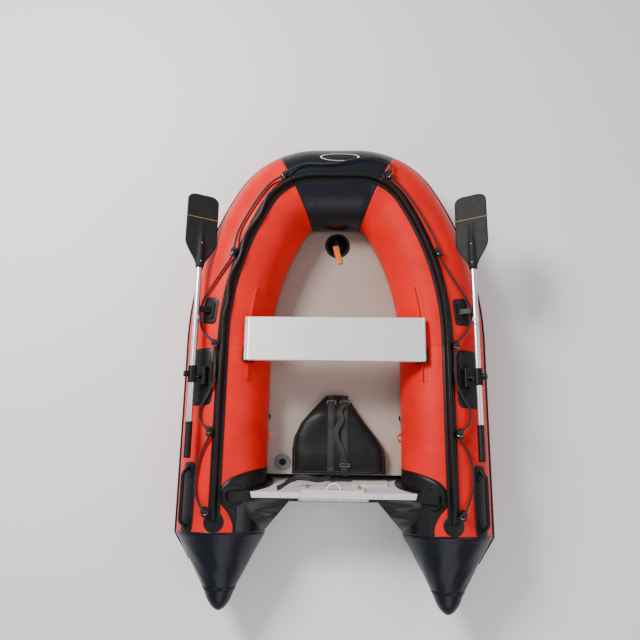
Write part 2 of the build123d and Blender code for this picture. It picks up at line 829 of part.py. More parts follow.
# ---- patches stuck on the tubes ------------------------------------------
def shell_patch(low_angle, high_angle, stretch):
    """A thin patch round the tube between two angles from its top."""
    radius = tube_r + glue
    wedge_r = 3 * tube_r
    with BuildPart() as patch:
        with BuildSketch(stretch.section):
            Circle(radius + patch_t)
            Circle(radius, mode=Mode.SUBTRACT)
            corners = [(wedge_r * sin(radians(a)), wedge_r * cos(radians(a))) for a in (low_angle, high_angle)]
            with BuildLine():
                Polyline((0, 0), *corners, close=True)
            make_face(mode=Mode.INTERSECT)
        if stretch.axis is None:
            extrude(amount=-stretch.run)
        else:
            revolve(axis=stretch.axis, revolution_arc=stretch.angle)
    return patch.part


def straight_spot(y, half):
    return Stretch(straight_section(y - half), run=2 * half)


def quarter_spot(angle, half):
    swing = degrees(half / quarter_r)
    return Stretch(arc_section(quarter_hub, quarter_r, angle - swing), axis=hub_axis(quarter_hub), angle=2 * swing)


def shoulder_spot(angle, half):
    swing = degrees(half / shoulder_r)
    return Stretch(arc_section(shoulder_hub, shoulder_r, angle - swing), axis=hub_axis(shoulder_hub), angle=2 * swing)


tape_angle = degrees(asin((fin_base_w / 2 + 1) / tube_r))
ring_high_angle = degrees(asin((fin_base_w / 2 + ring_patch_w) / tube_r))
fin_disc_y = fin_back - 5
with BuildPart() as fin_disc:
    add(shell_patch(-20, 20, straight_spot(fin_disc_y, fin_patch_r)))
    with BuildSketch(on_tube(fin_disc_y, 0, -50)):
        Circle(fin_patch_r)
    extrude(amount=100, mode=Mode.INTERSECT)
    with BuildSketch(on_tube(fin_back - glue, 0, -50)):
        Rectangle(100, fin_base_w + 2 * glue, align=(Align.MIN, Align.CENTER))
    extrude(amount=100, mode=Mode.SUBTRACT)
    with BuildSketch(on_tube(ring_y[0], 0, -50)):
        Rectangle(2 * ring_patch + 2 * glue, 200, align=(Align.CENTER, Align.MAX))
    extrude(amount=100, mode=Mode.SUBTRACT)
with BuildPart() as patches:
    add(shell_patch(rowlock_angle - 9, rowlock_angle + 27, straight_spot(rowlock_y, rowlock_patch)))
    add(shell_patch(handle_angle - 12, handle_angle + 12, straight_spot(handle_y, handle_patch)))
    add(shell_patch(clip_angle - 10, clip_angle + 12, quarter_spot(clip_station, clip_patch)))
    add(fin_disc.part)
    mirror(about=Plane.YZ)
save(patches.part, "patches")

# ---- rings for the grab line --------------------------------------------
stations = [
    straight_spot(ring_y[0], ring_patch),
    straight_spot(ring_y[1], ring_patch),
    Stretch(quarter_stretch.section, axis=rise_axis, angle=-degrees(ring_patch / rise_r)),
    Stretch(quarter_stretch.section, axis=hub_axis(quarter_hub), angle=degrees(ring_patch / quarter_r)),
    quarter_spot(ring_turn[1], ring_patch),
    shoulder_spot(ring_turn[2], ring_patch),
]
ring_sections = [
    straight_section(ring_y[0]),
    straight_section(ring_y[1]),
    arc_section(quarter_hub, quarter_r, ring_turn[0]),
    arc_section(quarter_hub, quarter_r, ring_turn[1]),
    arc_section(shoulder_hub, shoulder_r, ring_turn[2]),
]
with BuildPart() as ring_patches:
    for station in stations:
        add(shell_patch(tape_angle, ring_high_angle, station))
    for section in ring_sections:
        eye = on_bow(section, ring_angle, glue + patch_t / 2)
        with BuildSketch(Plane(origin=eye.origin + eye.y_dir * eye_w / 2, x_dir=eye.x_dir, z_dir=-eye.y_dir)):
            with Locations((0, eye_h)):
                Circle(eye_r)
            Rectangle(2 * eye_r, eye_h, align=(Align.CENTER, Align.MIN))
        extrude(amount=eye_w)
        with BuildSketch(Plane(origin=eye.origin + eye.y_dir * eye_w, x_dir=eye.x_dir, z_dir=-eye.y_dir)):
            with Locations((0, eye_h)):
                Circle(ring_wire / 2 + eye_gap)
        extrude(amount=2 * eye_w, mode=Mode.SUBTRACT)
    mirror(about=Plane.YZ)
save(ring_patches.part, "ring_patches")

with BuildPart() as rings:
    for section in ring_sections:
        eye = on_bow(section, ring_angle, glue + patch_t / 2 + eye_h)
        lean = radians(ring_lean)
        up = eye.z_dir * cos(lean) - eye.x_dir * sin(lean)
        centre = eye.origin + up * ring_r
        with BuildSketch(Plane(origin=centre - up * ring_r, x_dir=up, z_dir=eye.y_dir)):
            Circle(ring_wire / 2)
        revolve(axis=Axis(centre, up.cross(eye.y_dir)))
    mirror(about=Plane.YZ)
save(rings.part, "d_rings")

# ---- rowlocks, oars and their clips --------------------------------------
rod_plane = on_tube(rowlock_y, rowlock_angle, rowlock_height)
pin_way = Vector(cos(radians(rowlock_pin_angle)), 0, sin(radians(rowlock_pin_angle)))
oar_plane = Plane(
    origin=rod_plane.origin + pin_way * pin_reach,
    x_dir=pin_way,
    z_dir=(-sin(radians(rowlock_pin_angle)), 0, cos(radians(rowlock_pin_angle))),
)
pin_plane = Plane(origin=rod_plane.origin, x_dir=(0, 1, 0), z_dir=pin_way)
post_plane = Plane(origin=rod_plane.origin - Vector(0, post_w / 2, 0), x_dir=pin_way, z_dir=(0, 1, 0))
lug_gap = barrel_length / 2 + 0.5


def across(station, plane=rod_plane):
    """A section plane at a station forward of plane's middle: x inboard, y along its normal."""
    forward = Vector(0, 1, 0)
    return Plane(origin=plane.origin + forward * station, x_dir=plane.z_dir.cross(forward), z_dir=forward)


with BuildPart() as rowlock_base:
    with BuildSketch(rod_plane.offset(-rowlock_height - 25)):
        RectangleRounded(base_length, base_w, 16)
    extrude(amount=25 + base_t)
    for end in (-1, 1):
        with BuildSketch(across(end * (lug_gap + lug_t / 2) - lug_t / 2)):
            Circle(barrel_d / 2 + 1)
            Rectangle(barrel_d + 2, rowlock_height, align=(Align.CENTER, Align.MAX))
        extrude(amount=lug_t)
    with BuildSketch(across(-lug_gap)):
        Circle(rod_d / 2)
    extrude(amount=2 * lug_gap)
    with BuildSketch(post_plane):
        with Locations((post_reach, pin_d / 2 + glue)):
            Rectangle(post_t, 60, align=(Align.CENTER, Align.MIN))
    extrude(amount=post_w)
    add(tube_bar(tube_r + patch_t + 2 * glue, rowlock_y), mode=Mode.SUBTRACT)
save_both(rowlock_base.part, "rowlock_bases")

knob_start = pin_reach + collar_d / 2 + glue
with BuildPart() as tee:
    with BuildSketch(across(-barrel_length / 2)):
        Circle(barrel_d / 2)
    extrude(amount=barrel_length)
    with BuildSketch(pin_plane):
        Circle(pin_d / 2)
    extrude(amount=knob_start + 2)
    with BuildSketch(pin_plane.offset(knob_start)):
        Circle(knob_r)
    extrude(amount=knob_h)
    fillet(tee.faces().sort_by(Axis(rod_plane.origin, pin_way))[-1].edges(), 4)
    with BuildSketch(across(-barrel_length / 2)):
        Circle(rod_d / 2 + running_gap)
    extrude(amount=barrel_length, mode=Mode.SUBTRACT)
save_pair(tee.part, "rowlock_tee")


def oar_bar(back, front, radius):
    """A round bar on the oar's axis between two stations along the boat."""
    with BuildPart() as bar:
        with BuildSketch(across(back - rowlock_y, oar_plane)):
            Circle(radius)
        extrude(amount=front - back)
    return bar.part


shaft_r = oar_d / 2
shaft_back = oar_back + 5
shaft_front = oar_front - blade_length + socket_depth
with BuildPart() as shaft:
    add(oar_bar(shaft_back, shaft_front, shaft_r))
    add(oar_bar(shaft_back, shaft_front, shaft_r - oar_wall), mode=Mode.SUBTRACT)
    with BuildSketch(pin_plane.offset(pin_reach - 40)):
        Circle(pin_d / 2 + glue)
    extrude(amount=80, mode=Mode.SUBTRACT)
save_pair(shaft.part, "oar_shaft")

with BuildPart() as collar:
    add(oar_bar(rowlock_y - collar_length / 2, rowlock_y + collar_length / 2, collar_d / 2))
    fillet(collar.faces().filter_by(GeomType.PLANE).edges(), 3)
    add(oar_bar(rowlock_y - collar_length, rowlock_y + collar_length, shaft_r + glue), mode=Mode.SUBTRACT)
    with BuildSketch(pin_plane.offset(pin_reach - 40)):
        Circle(pin_d / 2 + running_gap)
    extrude(amount=80, mode=Mode.SUBTRACT)
save_pair(collar.part, "oar_collar")

with BuildPart() as grip:
    add(oar_bar(oar_back, oar_back + grip_length, grip_d / 2))
    fillet(grip.faces().filter_by(GeomType.PLANE).edges(), 5)
    add(oar_bar(shaft_back - glue, oar_back + grip_length + 5, shaft_r + glue), mode=Mode.SUBTRACT)
save_pair(grip.part, "oar_grip")

neck = oar_front - blade_length - rowlock_y
with BuildPart() as blade:
    with BuildSketch(oar_plane.offset(-blade_t / 2)):
        with Locations((0, oar_front - rowlock_y)):
            RectangleRounded(blade_w, blade_broad, blade_corner, align=(Align.CENTER, Align.MAX))
        with Locations((0, neck + socket_r)):
            Circle(socket_r)
        make_hull()
    extrude(amount=blade_t)
    fillet(blade.faces().filter_by(Axis((0, 0, 0), oar_plane.z_dir)).edges(), 2.5)
    add(oar_bar(neck + rowlock_y, shaft_front + 12, socket_r))
    add(oar_bar(neck + rowlock_y - 5, shaft_front + glue, shaft_r + glue), mode=Mode.SUBTRACT)
save_pair(blade.part, "oar_blade")

clip_plane = on_bow(arc_section(quarter_hub, quarter_r, clip_station), clip_angle)
clip_y = clip_plane.origin.Y
clip_face = shaft_r + 1.0
clip_feet = [clip_plane.from_local_coords((0, side * 15, 0)) for side in (1, -1)]
with BuildPart() as clip:
    with BuildSketch(clip_plane.offset(-20)):
        RectangleRounded(clip_length, clip_base_w, 14)
    extrude(amount=20 + base_t)
    with BuildSketch(across(clip_y - rowlock_y - clip_w / 2, oar_plane)):
        with Locations((clip_face + clip_t / 2, -10)):
            RectangleRounded(clip_t, clip_h, clip_t / 2 - 0.2)
    extrude(amount=clip_w)
    with BuildSketch(across(clip_y - rowlock_y - clip_w / 2, oar_plane)):
        arm_feet = [across(0, oar_plane).to_local_coords(spot) for spot in clip_feet]
        arm_root = clip_face + clip_t / 2
        Polygon((arm_root, -20), (arm_root, 3), *[(spot.X, spot.Y) for spot in arm_feet], align=None)
    extrude(amount=clip_w)
    clip_swing = degrees(clip_length / quarter_r)
    clip_section = arc_section(quarter_hub, quarter_r, clip_station - clip_swing)
    with BuildPart(mode=Mode.PRIVATE) as under:
        with BuildSketch(clip_section):
            Circle(tube_r + patch_t + 2 * glue)
        revolve(axis=hub_axis(quarter_hub), revolution_arc=2 * clip_swing)
    add(under.part, mode=Mode.SUBTRACT)
save_both(clip.part, "oar_clips")


# ---- carry handles -------------------------------------------------------
handle_plane = on_tube(handle_y, handle_angle, patch_t)
with BuildPart() as handle:
    with BuildSketch(handle_plane.offset(-30)):
        for end in (-1, 1):
            with Locations((end * handle_foot, 0)):
                RectangleRounded(66, 64, 18)
    extrude(amount=60)
    add(tube_bar(tube_r + patch_t + 2 * glue + 3, handle_y), mode=Mode.INTERSECT)
    with BuildLine():
        rail = FilletPolyline(
            handle_plane.from_local_coords((-handle_foot - 16, 0, 0)),
            handle_plane.from_local_coords((-handle_foot + 16, 0, handle_h)),
            handle_plane.from_local_coords((handle_foot - 16, 0, handle_h)),
            handle_plane.from_local_coords((handle_foot + 16, 0, 0)),
            radius=22,
        )
    with BuildSketch(Plane(origin=rail @ 0, z_dir=rail % 0)):
        Circle(handle_r)
    sweep(path=rail)
    add(tube_bar(tube_r + patch_t + 2 * glue, handle_y), mode=Mode.SUBTRACT)
save_both(handle.part, "carry_handles")


# ---- sliding seat --------------------------------------------------------
def track_spot(height):
    a = radians(track_angle)
    return (-(tube_r + height) * sin(a), (tube_r + height) * cos(a))


def track_profile():
    Circle(tube_r + glue + patch_t)
    Circle(tube_r + glue, mode=Mode.SUBTRACT)
    with Locations(Location((*track_spot(0), 0), track_angle)):
        Rectangle(track_band, 40, mode=Mode.INTERSECT)
    with Locations(Location((*track_spot(glue + patch_t / 2 + track_h / 2), 0), track_angle)):
        Rectangle(track_t, track_h)


track_turn = degrees(asin(track_front / quarter_r)) - degrees(asin(rise_end / quarter_r))
seat_track = follow(
    track_profile,
    [
        side_stretch(track_back),
        rise_stretch,
        Stretch(arc_section(quarter_hub, quarter_r, 0), axis=hub_axis(quarter_hub), angle=track_turn),
    ],
)
save_both(seat_track, "seat_tracks")

rib_pitch = (seat_w - 2 * seat_wall) / (seat_ribs + 1)
with BuildPart() as seat:
    with BuildSketch(Plane.XY.offset(seat_bottom)):
        with Locations((0, seat_y)):
            RectangleRounded(seat_length, seat_w, seat_corner)
    extrude(amount=seat_t)
    fillet(seat.faces().filter_by(Axis.Z).edges(), seat_round)
    with BuildSketch(Plane.XY.offset(seat_bottom + seat_wall)):
        with Locations((0, seat_y)):
            RectangleRounded(seat_length - 2 * seat_wall, seat_w - 2 * seat_wall, seat_corner - seat_wall)
        with Locations((0, seat_y)):
            with GridLocations(0, rib_pitch, 1, seat_ribs):
                Rectangle(seat_length, seat_wall, mode=Mode.SUBTRACT)
    extrude(amount=seat_t - 2 * seat_wall, mode=Mode.SUBTRACT)
save(seat.part, "seat_plank")

shoe_x = centre_x - (tube_r + track_h) * sin(radians(track_angle))
shoe_plane = on_tube(seat_y - shoe_back, -track_angle)
with BuildPart() as shoe:
    with BuildSketch(Plane.XY.offset(seat_bottom - glue)):
        with Locations((shoe_x, seat_y - shoe_back)):
            RectangleRounded(shoe_w, shoe_length, 6)
    extrude(amount=-40)
    add(tube_bar(tube_r + 4, 0), mode=Mode.SUBTRACT)
    with BuildSketch(shoe_plane.offset(-5)):
        Rectangle(2 * shoe_length, track_t + 2 * shoe_gap)
    extrude(amount=track_h + 5 + 2 * glue + patch_t + 1.2, mode=Mode.SUBTRACT)
save_both(shoe.part, "seat_shoes")


# ---- bag on the floor ----------------------------------------------------
bag_base = deck_top + 2 * glue
bag_points = [
    (bag_nose_x - bag_nose_w / 2, bag_front),
    (bag_nose_x + bag_nose_w / 2, bag_front),
    (bag_nose_x + bag_w / 2, bag_front - bag_length * 0.68),
    (bag_tail_x + bag_tail_w / 2, bag_front - bag_length),
    (bag_tail_x - bag_tail_w / 2, bag_front - bag_length),
    (bag_nose_x - bag_w / 2, bag_front - bag_length * 0.68),
]
bag_side = [
    (bag_front, bag_base),
    (bag_front - 26, bag_base + bag_h * 0.6),
    (bag_front - 84, bag_base + bag_h),
    (bag_front - bag_length + 30, bag_base + bag_h),
    (bag_front - bag_length, bag_base + bag_h * 0.7),
    (bag_front - bag_length, bag_base),
]


def bag_solid(inset):
    """The bag as a full solid, drawn in all over by inset."""
    with BuildPart() as solid:
        with BuildSketch(Plane.XY.offset(bag_base + inset)):
            Polygon(*bag_points, align=None)
            if inset:
                offset(amount=-inset)
        extrude(amount=bag_h)
        with BuildSketch(Plane.YZ.offset(-bag_w)):
            Polygon(*bag_side, align=None)
            if inset:
                offset(amount=-inset)
        extrude(amount=2 * bag_w, mode=Mode.INTERSECT)
    return solid.part


with BuildPart() as bag:
    add(bag_solid(0))
    fillet(bag.edges().filter_by_position(Axis.Z, bag_base + 1, bag_base + 2 * bag_h), 9)
    add(bag_solid(bag_skin + 8), mode=Mode.SUBTRACT)
save(bag.part, "gear_bag")

with BuildPart() as bag_straps:
    for strap_x in (bag_nose_x - 27, bag_nose_x + 27):
        with BuildSketch(Plane.YZ.offset(strap_x - strap_w / 2)):
            with BuildLine():
                Polyline(*bag_side, close=True)
                offset(amount=glue + strap_t, kind=Kind.INTERSECTION)
            make_face()
            with BuildLine():
                Polyline(*bag_side, close=True)
                offset(amount=glue, kind=Kind.INTERSECTION)
            make_face(mode=Mode.SUBTRACT)
            with Locations((bag_front, bag_base)):
                Rectangle(2 * bag_length, 200, align=(Align.CENTER, Align.MIN), mode=Mode.INTERSECT)
        extrude(amount=strap_w)
        with BuildSketch(Plane.XY.offset(bag_base + bag_h + glue + strap_t / 2)):
            with Locations((strap_x, bag_front - 105)):
                RectangleRounded(strap_w + 8, 30, 5)
        extrude(amount=8)
save(bag_straps.part, "bag_straps")

with BuildPart() as loops:
    loop_plane = on_tube(lashing_y, -lashing_angle, glue)
    with BuildSketch(Plane(origin=loop_plane.origin, x_dir=(0, 1, 0), z_dir=-loop_plane.y_dir)):
        with Locations((0, -2)):
            Ellipse(22, 16)
            Ellipse(22 - strap_t, 16 - strap_t, mode=Mode.SUBTRACT)
            Rectangle(60, 30, align=(Align.CENTER, Align.MIN), mode=Mode.INTERSECT)
    extrude(amount=18, both=True)
    add(tube_bar(tube_r + glue, lashing_y), mode=Mode.SUBTRACT)
save_both(loops.part, "lashing_loops")


# ---- grab lines ----------------------------------------------------------
def rope(points):
    with BuildPart() as line:
        with BuildLine():
            path = FilletPolyline(*points, radius=rope_bend)
        with BuildSketch(Plane(origin=path @ 0, z_dir=path % 0)):
            Circle(rope_d / 2)
        sweep(path=path)
    return line.part


save(rope(starboard_line), "starboard_lifeline")
save(rope(port_line), "port_lifeline")
save(rope(bow_line), "bow_lifeline")
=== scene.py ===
"""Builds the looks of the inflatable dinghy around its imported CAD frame."""

import json
import math

import bmesh
import bpy
import numpy as np
from mathutils import Matrix, Vector


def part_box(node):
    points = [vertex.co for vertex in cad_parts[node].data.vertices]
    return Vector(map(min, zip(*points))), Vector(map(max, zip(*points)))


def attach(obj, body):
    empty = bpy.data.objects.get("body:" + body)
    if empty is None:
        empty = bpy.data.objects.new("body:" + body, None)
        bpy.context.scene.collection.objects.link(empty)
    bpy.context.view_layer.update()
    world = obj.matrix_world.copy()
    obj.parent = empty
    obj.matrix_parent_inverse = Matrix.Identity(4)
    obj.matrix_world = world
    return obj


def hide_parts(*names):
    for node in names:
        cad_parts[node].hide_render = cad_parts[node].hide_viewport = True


bl_info = {
    "name": "Inflatable dinghy",
    "version": (1, 0, 0),
    "blender": (4, 5, 0),
    "location": "3D View > Sidebar > Dinghy",
    "description": "Dresses the dinghy's frame with fabric tubes, trim, oars, lines, bench and bag",
    "category": "Add Mesh",
}

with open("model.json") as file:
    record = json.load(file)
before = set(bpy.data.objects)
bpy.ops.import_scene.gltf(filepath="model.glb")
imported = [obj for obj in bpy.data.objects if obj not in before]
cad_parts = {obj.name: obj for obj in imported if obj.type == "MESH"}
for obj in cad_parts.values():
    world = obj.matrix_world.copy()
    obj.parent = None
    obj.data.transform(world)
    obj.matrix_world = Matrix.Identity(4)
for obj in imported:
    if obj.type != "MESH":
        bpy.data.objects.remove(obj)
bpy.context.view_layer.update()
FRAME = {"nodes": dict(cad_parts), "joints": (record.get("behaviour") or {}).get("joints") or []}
SIDES = (("port", -1), ("starboard", 1))

# ---- the hull line: the axis of the air tube, as the frame has it ---------
TUBE_R = 0.21
CENTRE_X = 0.5397
QUARTER_R = 1.366
SHOULDER_R = 0.258
BOW_FLAT = 0.108
BOW_Y = 0.9327
RISE = math.radians(5.3)
RISE_R = 0.3
BOW_PATCH = math.radians(25)
CONE_BASE = -0.815
CONE_RUN = 0.297
CONE_TIP_R = 0.046
CONE_TIP = Vector((0.5297, -1.112, 0.236))
GLUE = 0.0003
PATCH = 0.0015

TURN = math.acos((QUARTER_R - CENTRE_X + BOW_FLAT) / (QUARTER_R - SHOULDER_R))
HUB_Y = (QUARTER_R - SHOULDER_R) * math.sin(TURN)
RISE_END = BOW_Y - (HUB_Y + SHOULDER_R) * math.cos(RISE)
RISE_START = RISE_END - RISE_R * math.sin(RISE)
RISE_Z = TUBE_R + RISE_R * (1 - math.cos(RISE))
S_RISE = RISE_START - CONE_BASE
S_QUARTER = S_RISE + RISE_R * RISE
S_SHOULDER = S_QUARTER + QUARTER_R * TURN
S_PATCH = S_SHOULDER + SHOULDER_R * (math.pi / 2 - BOW_PATCH - TURN)
S_FLAT = S_PATCH + SHOULDER_R * BOW_PATCH
S_END = S_FLAT + BOW_FLAT


def in_bow(x, y, z=0.0):
    """A point of the climbing bow plane, in the boat's frame."""
    climb, level = math.sin(RISE), math.cos(RISE)
    return Vector((x, RISE_END + y * level - z * climb, RISE_Z + y * climb + z * level))


def turn_way(vector, side):
    return Vector((vector.x * side, vector.y, vector.z))


def station(s, side=1):
    """Centre, outboard, up and radius of the tube at a distance s along it from the cone's base."""
    up = Vector((0, 0, 1))
    out = Vector((1, 0, 0))
    radius = TUBE_R
    if s < 0:
        t = min(-s / CONE_RUN, 1.0)
        centre = Vector((CENTRE_X, CONE_BASE, TUBE_R)).lerp(CONE_TIP, t)
        radius = TUBE_R + (CONE_TIP_R - TUBE_R) * t
    elif s < S_RISE:
        centre = Vector((CENTRE_X, CONE_BASE + s, TUBE_R))
    elif s < S_QUARTER:
        a = (s - S_RISE) / RISE_R
        y = RISE_START + RISE_R * math.sin(a)
        centre = Vector((CENTRE_X, y, TUBE_R + RISE_R * (1 - math.cos(a))))
        up = Vector((0, -math.sin(a), math.cos(a)))
    else:
        up = in_bow(0, 0, 1) - in_bow(0, 0)
        if s < S_SHOULDER:
            a = (s - S_QUARTER) / QUARTER_R
            hub, r = (CENTRE_X - QUARTER_R, 0.0), QUARTER_R
        elif s < S_FLAT:
            a = TURN + (s - S_SHOULDER) / SHOULDER_R
            hub, r = (BOW_FLAT, HUB_Y), SHOULDER_R
        else:
            a = math.pi / 2
            hub, r = (BOW_FLAT - (s - S_FLAT), HUB_Y), SHOULDER_R
        centre = in_bow(hub[0] + r * math.cos(a), hub[1] + r * math.sin(a))
        out = in_bow(math.cos(a), math.sin(a)) - in_bow(0, 0)
    return turn_way(centre, side), turn_way(out, side), up, radius


def skin(s, angle, height=0.0, side=1, shift=0.0):
    """A point over the tube: angle is outboard of its top, shift is along the skin in metres."""
    centre, out, up, radius = station(s, side)
    a = angle + shift / TUBE_R
    return centre + (out * math.sin(a) + up * math.cos(a)) * (radius + height)


def s_at(y):
    """The distance along the straight tube of a station y."""
    return y - CONE_BASE


def s_round(degrees_round):
    """The distance along the tube of a place on the long bow curve."""
    return S_QUARTER + QUARTER_R * math.radians(degrees_round)


# ---- mesh making ---------------------------------------------------------
PATCH_RINGS = 9
PATCH_SPREAD = 0.0006
CLOTH = 0.0012


def turns(count):
    """The angles of even steps round a circle."""
    return [2 * math.pi * j / count for j in range(count)]


def ease(t):
    t = min(max(t, 0.0), 1.0)
    return t * t * (3 - 2 * t)


def make_object(name, vertices, faces, look, body):
    mesh = bpy.data.meshes.new(name)
    mesh.from_pydata([tuple(v) for v in vertices], [], faces)
    work = bmesh.new()
    work.from_mesh(mesh)
    bmesh.ops.remove_doubles(work, verts=work.verts, dist=1e-6)
    bmesh.ops.recalc_face_normals(work, faces=work.faces)
    work.to_mesh(mesh)
    work.free()
    mesh.validate()
    mesh.materials.append(material(look))
    mesh.shade_smooth()
    piece = bpy.data.objects.new(name, mesh)
    bpy.context.scene.collection.objects.link(piece)
    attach(piece, body)
    return piece


def grid(name, rows, look, body="hull", loop=True, caps=True):
    """A skin over rows of points; loop closes each row on itself, caps closes the two ends."""
    count = len(rows[0])
    vertices = [point for row in rows for point in row]
    faces = []
    last = count if loop else count - 1
    for i in range(len(rows) - 1):
        a, b = i * count, (i + 1) * count
        for j in range(last):
            k = (j + 1) % count
            faces.append((a + j, a + k, b + k, b + j))
    if caps and loop:
        faces.append(tuple(range(count)))
        faces.append(tuple(range(len(vertices) - count, len(vertices))))
    return make_object(name, vertices, faces, look, body)


def cloth(name, rows, look):
    """An open skin with the thickness of one cloth."""
    piece = grid(name, rows, look, loop=False)
    piece.modifiers.new("cloth", "SOLIDIFY").thickness = CLOTH
    return piece


def tubes(name, parts, look):
    """One piece of several closed tubes, each a list of rows of points."""
    vertices = []
    faces = []
    for rows in parts:
        start, count = len(vertices), len(rows[0])
        vertices += [point for row in rows for point in row]
        for i in range(len(rows) - 1):
            a, b = start + i * count, start + (i + 1) * count
            for j in range(count):
                k = (j + 1) % count
                faces.append((a + j, a + k, b + k, b + j))
        faces.append(tuple(range(start, start + count)))
        faces.append(tuple(range(len(vertices) - count, len(vertices))))
    return make_object(name, vertices, faces, look, "hull")


def hull_strip(name, start, end, step, profile, side, wave=None, both=False, base=0.0):
    """Carries a closed profile of (across, height) along the tube, round the bow if both."""
    count = max(2, int((end - start) / step))
    spots = [(start + (end - start) * i / count, side) for i in range(count + 1)]
    if both:
        spots += [(s, -side) for s, _ in reversed(spots[:-1])]
    rows = []
    for s, way in spots:
        sway = wave(s, way) if wave else 0.0
        rows.append([skin(s, base, high, way, across + sway * high) for across, high in profile(s)])
    return grid(name, rows, "rubber")


def patch(name, side, s, angle, half_run, half_across, power, thick=PATCH, lift=GLUE):
    """A glued patch that follows the skin: round for power 2, squarer as power grows."""
    rows = []
    for i in range(PATCH_RINGS + 1):
        rho = min(i / (PATCH_RINGS - 2), 1.0)
        rim = i - PATCH_RINGS + 1
        drop = thick * (0.35, 1.0)[rim] if rim >= 0 else 0.0
        spread = PATCH_SPREAD if rim >= 0 else 0.0
        row = []
        for a in turns(72):
            reach = (abs(math.cos(a)) ** power + abs(math.sin(a)) ** power) ** (-1 / power)
            along = half_run * rho * reach * math.cos(a) * (1 + spread / half_run)
            across = half_across * rho * reach * math.sin(a) * (1 + spread / half_across)
            row.append(skin(s + along, angle, lift + thick - drop, side, across))
        rows.append(row)
    return grid(name, rows, "trim")


def lathe(name, origin, axis, profile, look, body, sides=40):
    """Turns (distance along axis, radius) pairs round an axis."""
    axis = Vector(axis).normalized()
    first = axis.orthogonal().normalized()
    second = axis.cross(first)
    round_axis = [first * math.cos(a) + second * math.sin(a) for a in turns(sides)]
    rows = [[Vector(origin) + axis * along + ray * r for ray in round_axis] for along, r in profile]
    return grid(name, rows, look, body)


def smooth_points(points, per_run=10):
    """A smooth line through given points."""
    spots = [Vector(p) for p in points]
    padded = [spots[0] * 2 - spots[1]] + spots + [spots[-1] * 2 - spots[-2]]
    line = []
    for a, b, c, d in zip(padded, padded[1:], padded[2:], padded[3:]):
        for k in range(per_run):
            t = k / per_run
            bend = (a * 2 - b * 5 + c * 4 - d) * t * t
            line.append((b * 2 + (c - a) * t + bend + (b * 3 - a - c * 3 + d) * t**3) * 0.5)
    line.append(spots[-1])
    return line


def webbing(name, points, width, thick, across, look):
    """A flat strap along given points; across is the way its width lies."""
    line = smooth_points(points)
    half, edge = width / 2, thick / 2
    flat = half - edge
    section = [(-half, 0), (-flat, edge), (flat, edge), (half, 0), (flat, -edge), (-flat, -edge)]
    rows = []
    for i, spot in enumerate(line):
        ahead = (line[min(i + 1, len(line) - 1)] - line[max(i - 1, 0)]).normalized()
        wide = Vector(across)
        wide = (wide - ahead * wide.dot(ahead)).normalized()
        normal = ahead.cross(wide)
        rows.append([spot + wide * u + normal * v for u, v in section])
    return grid(name, rows, look)


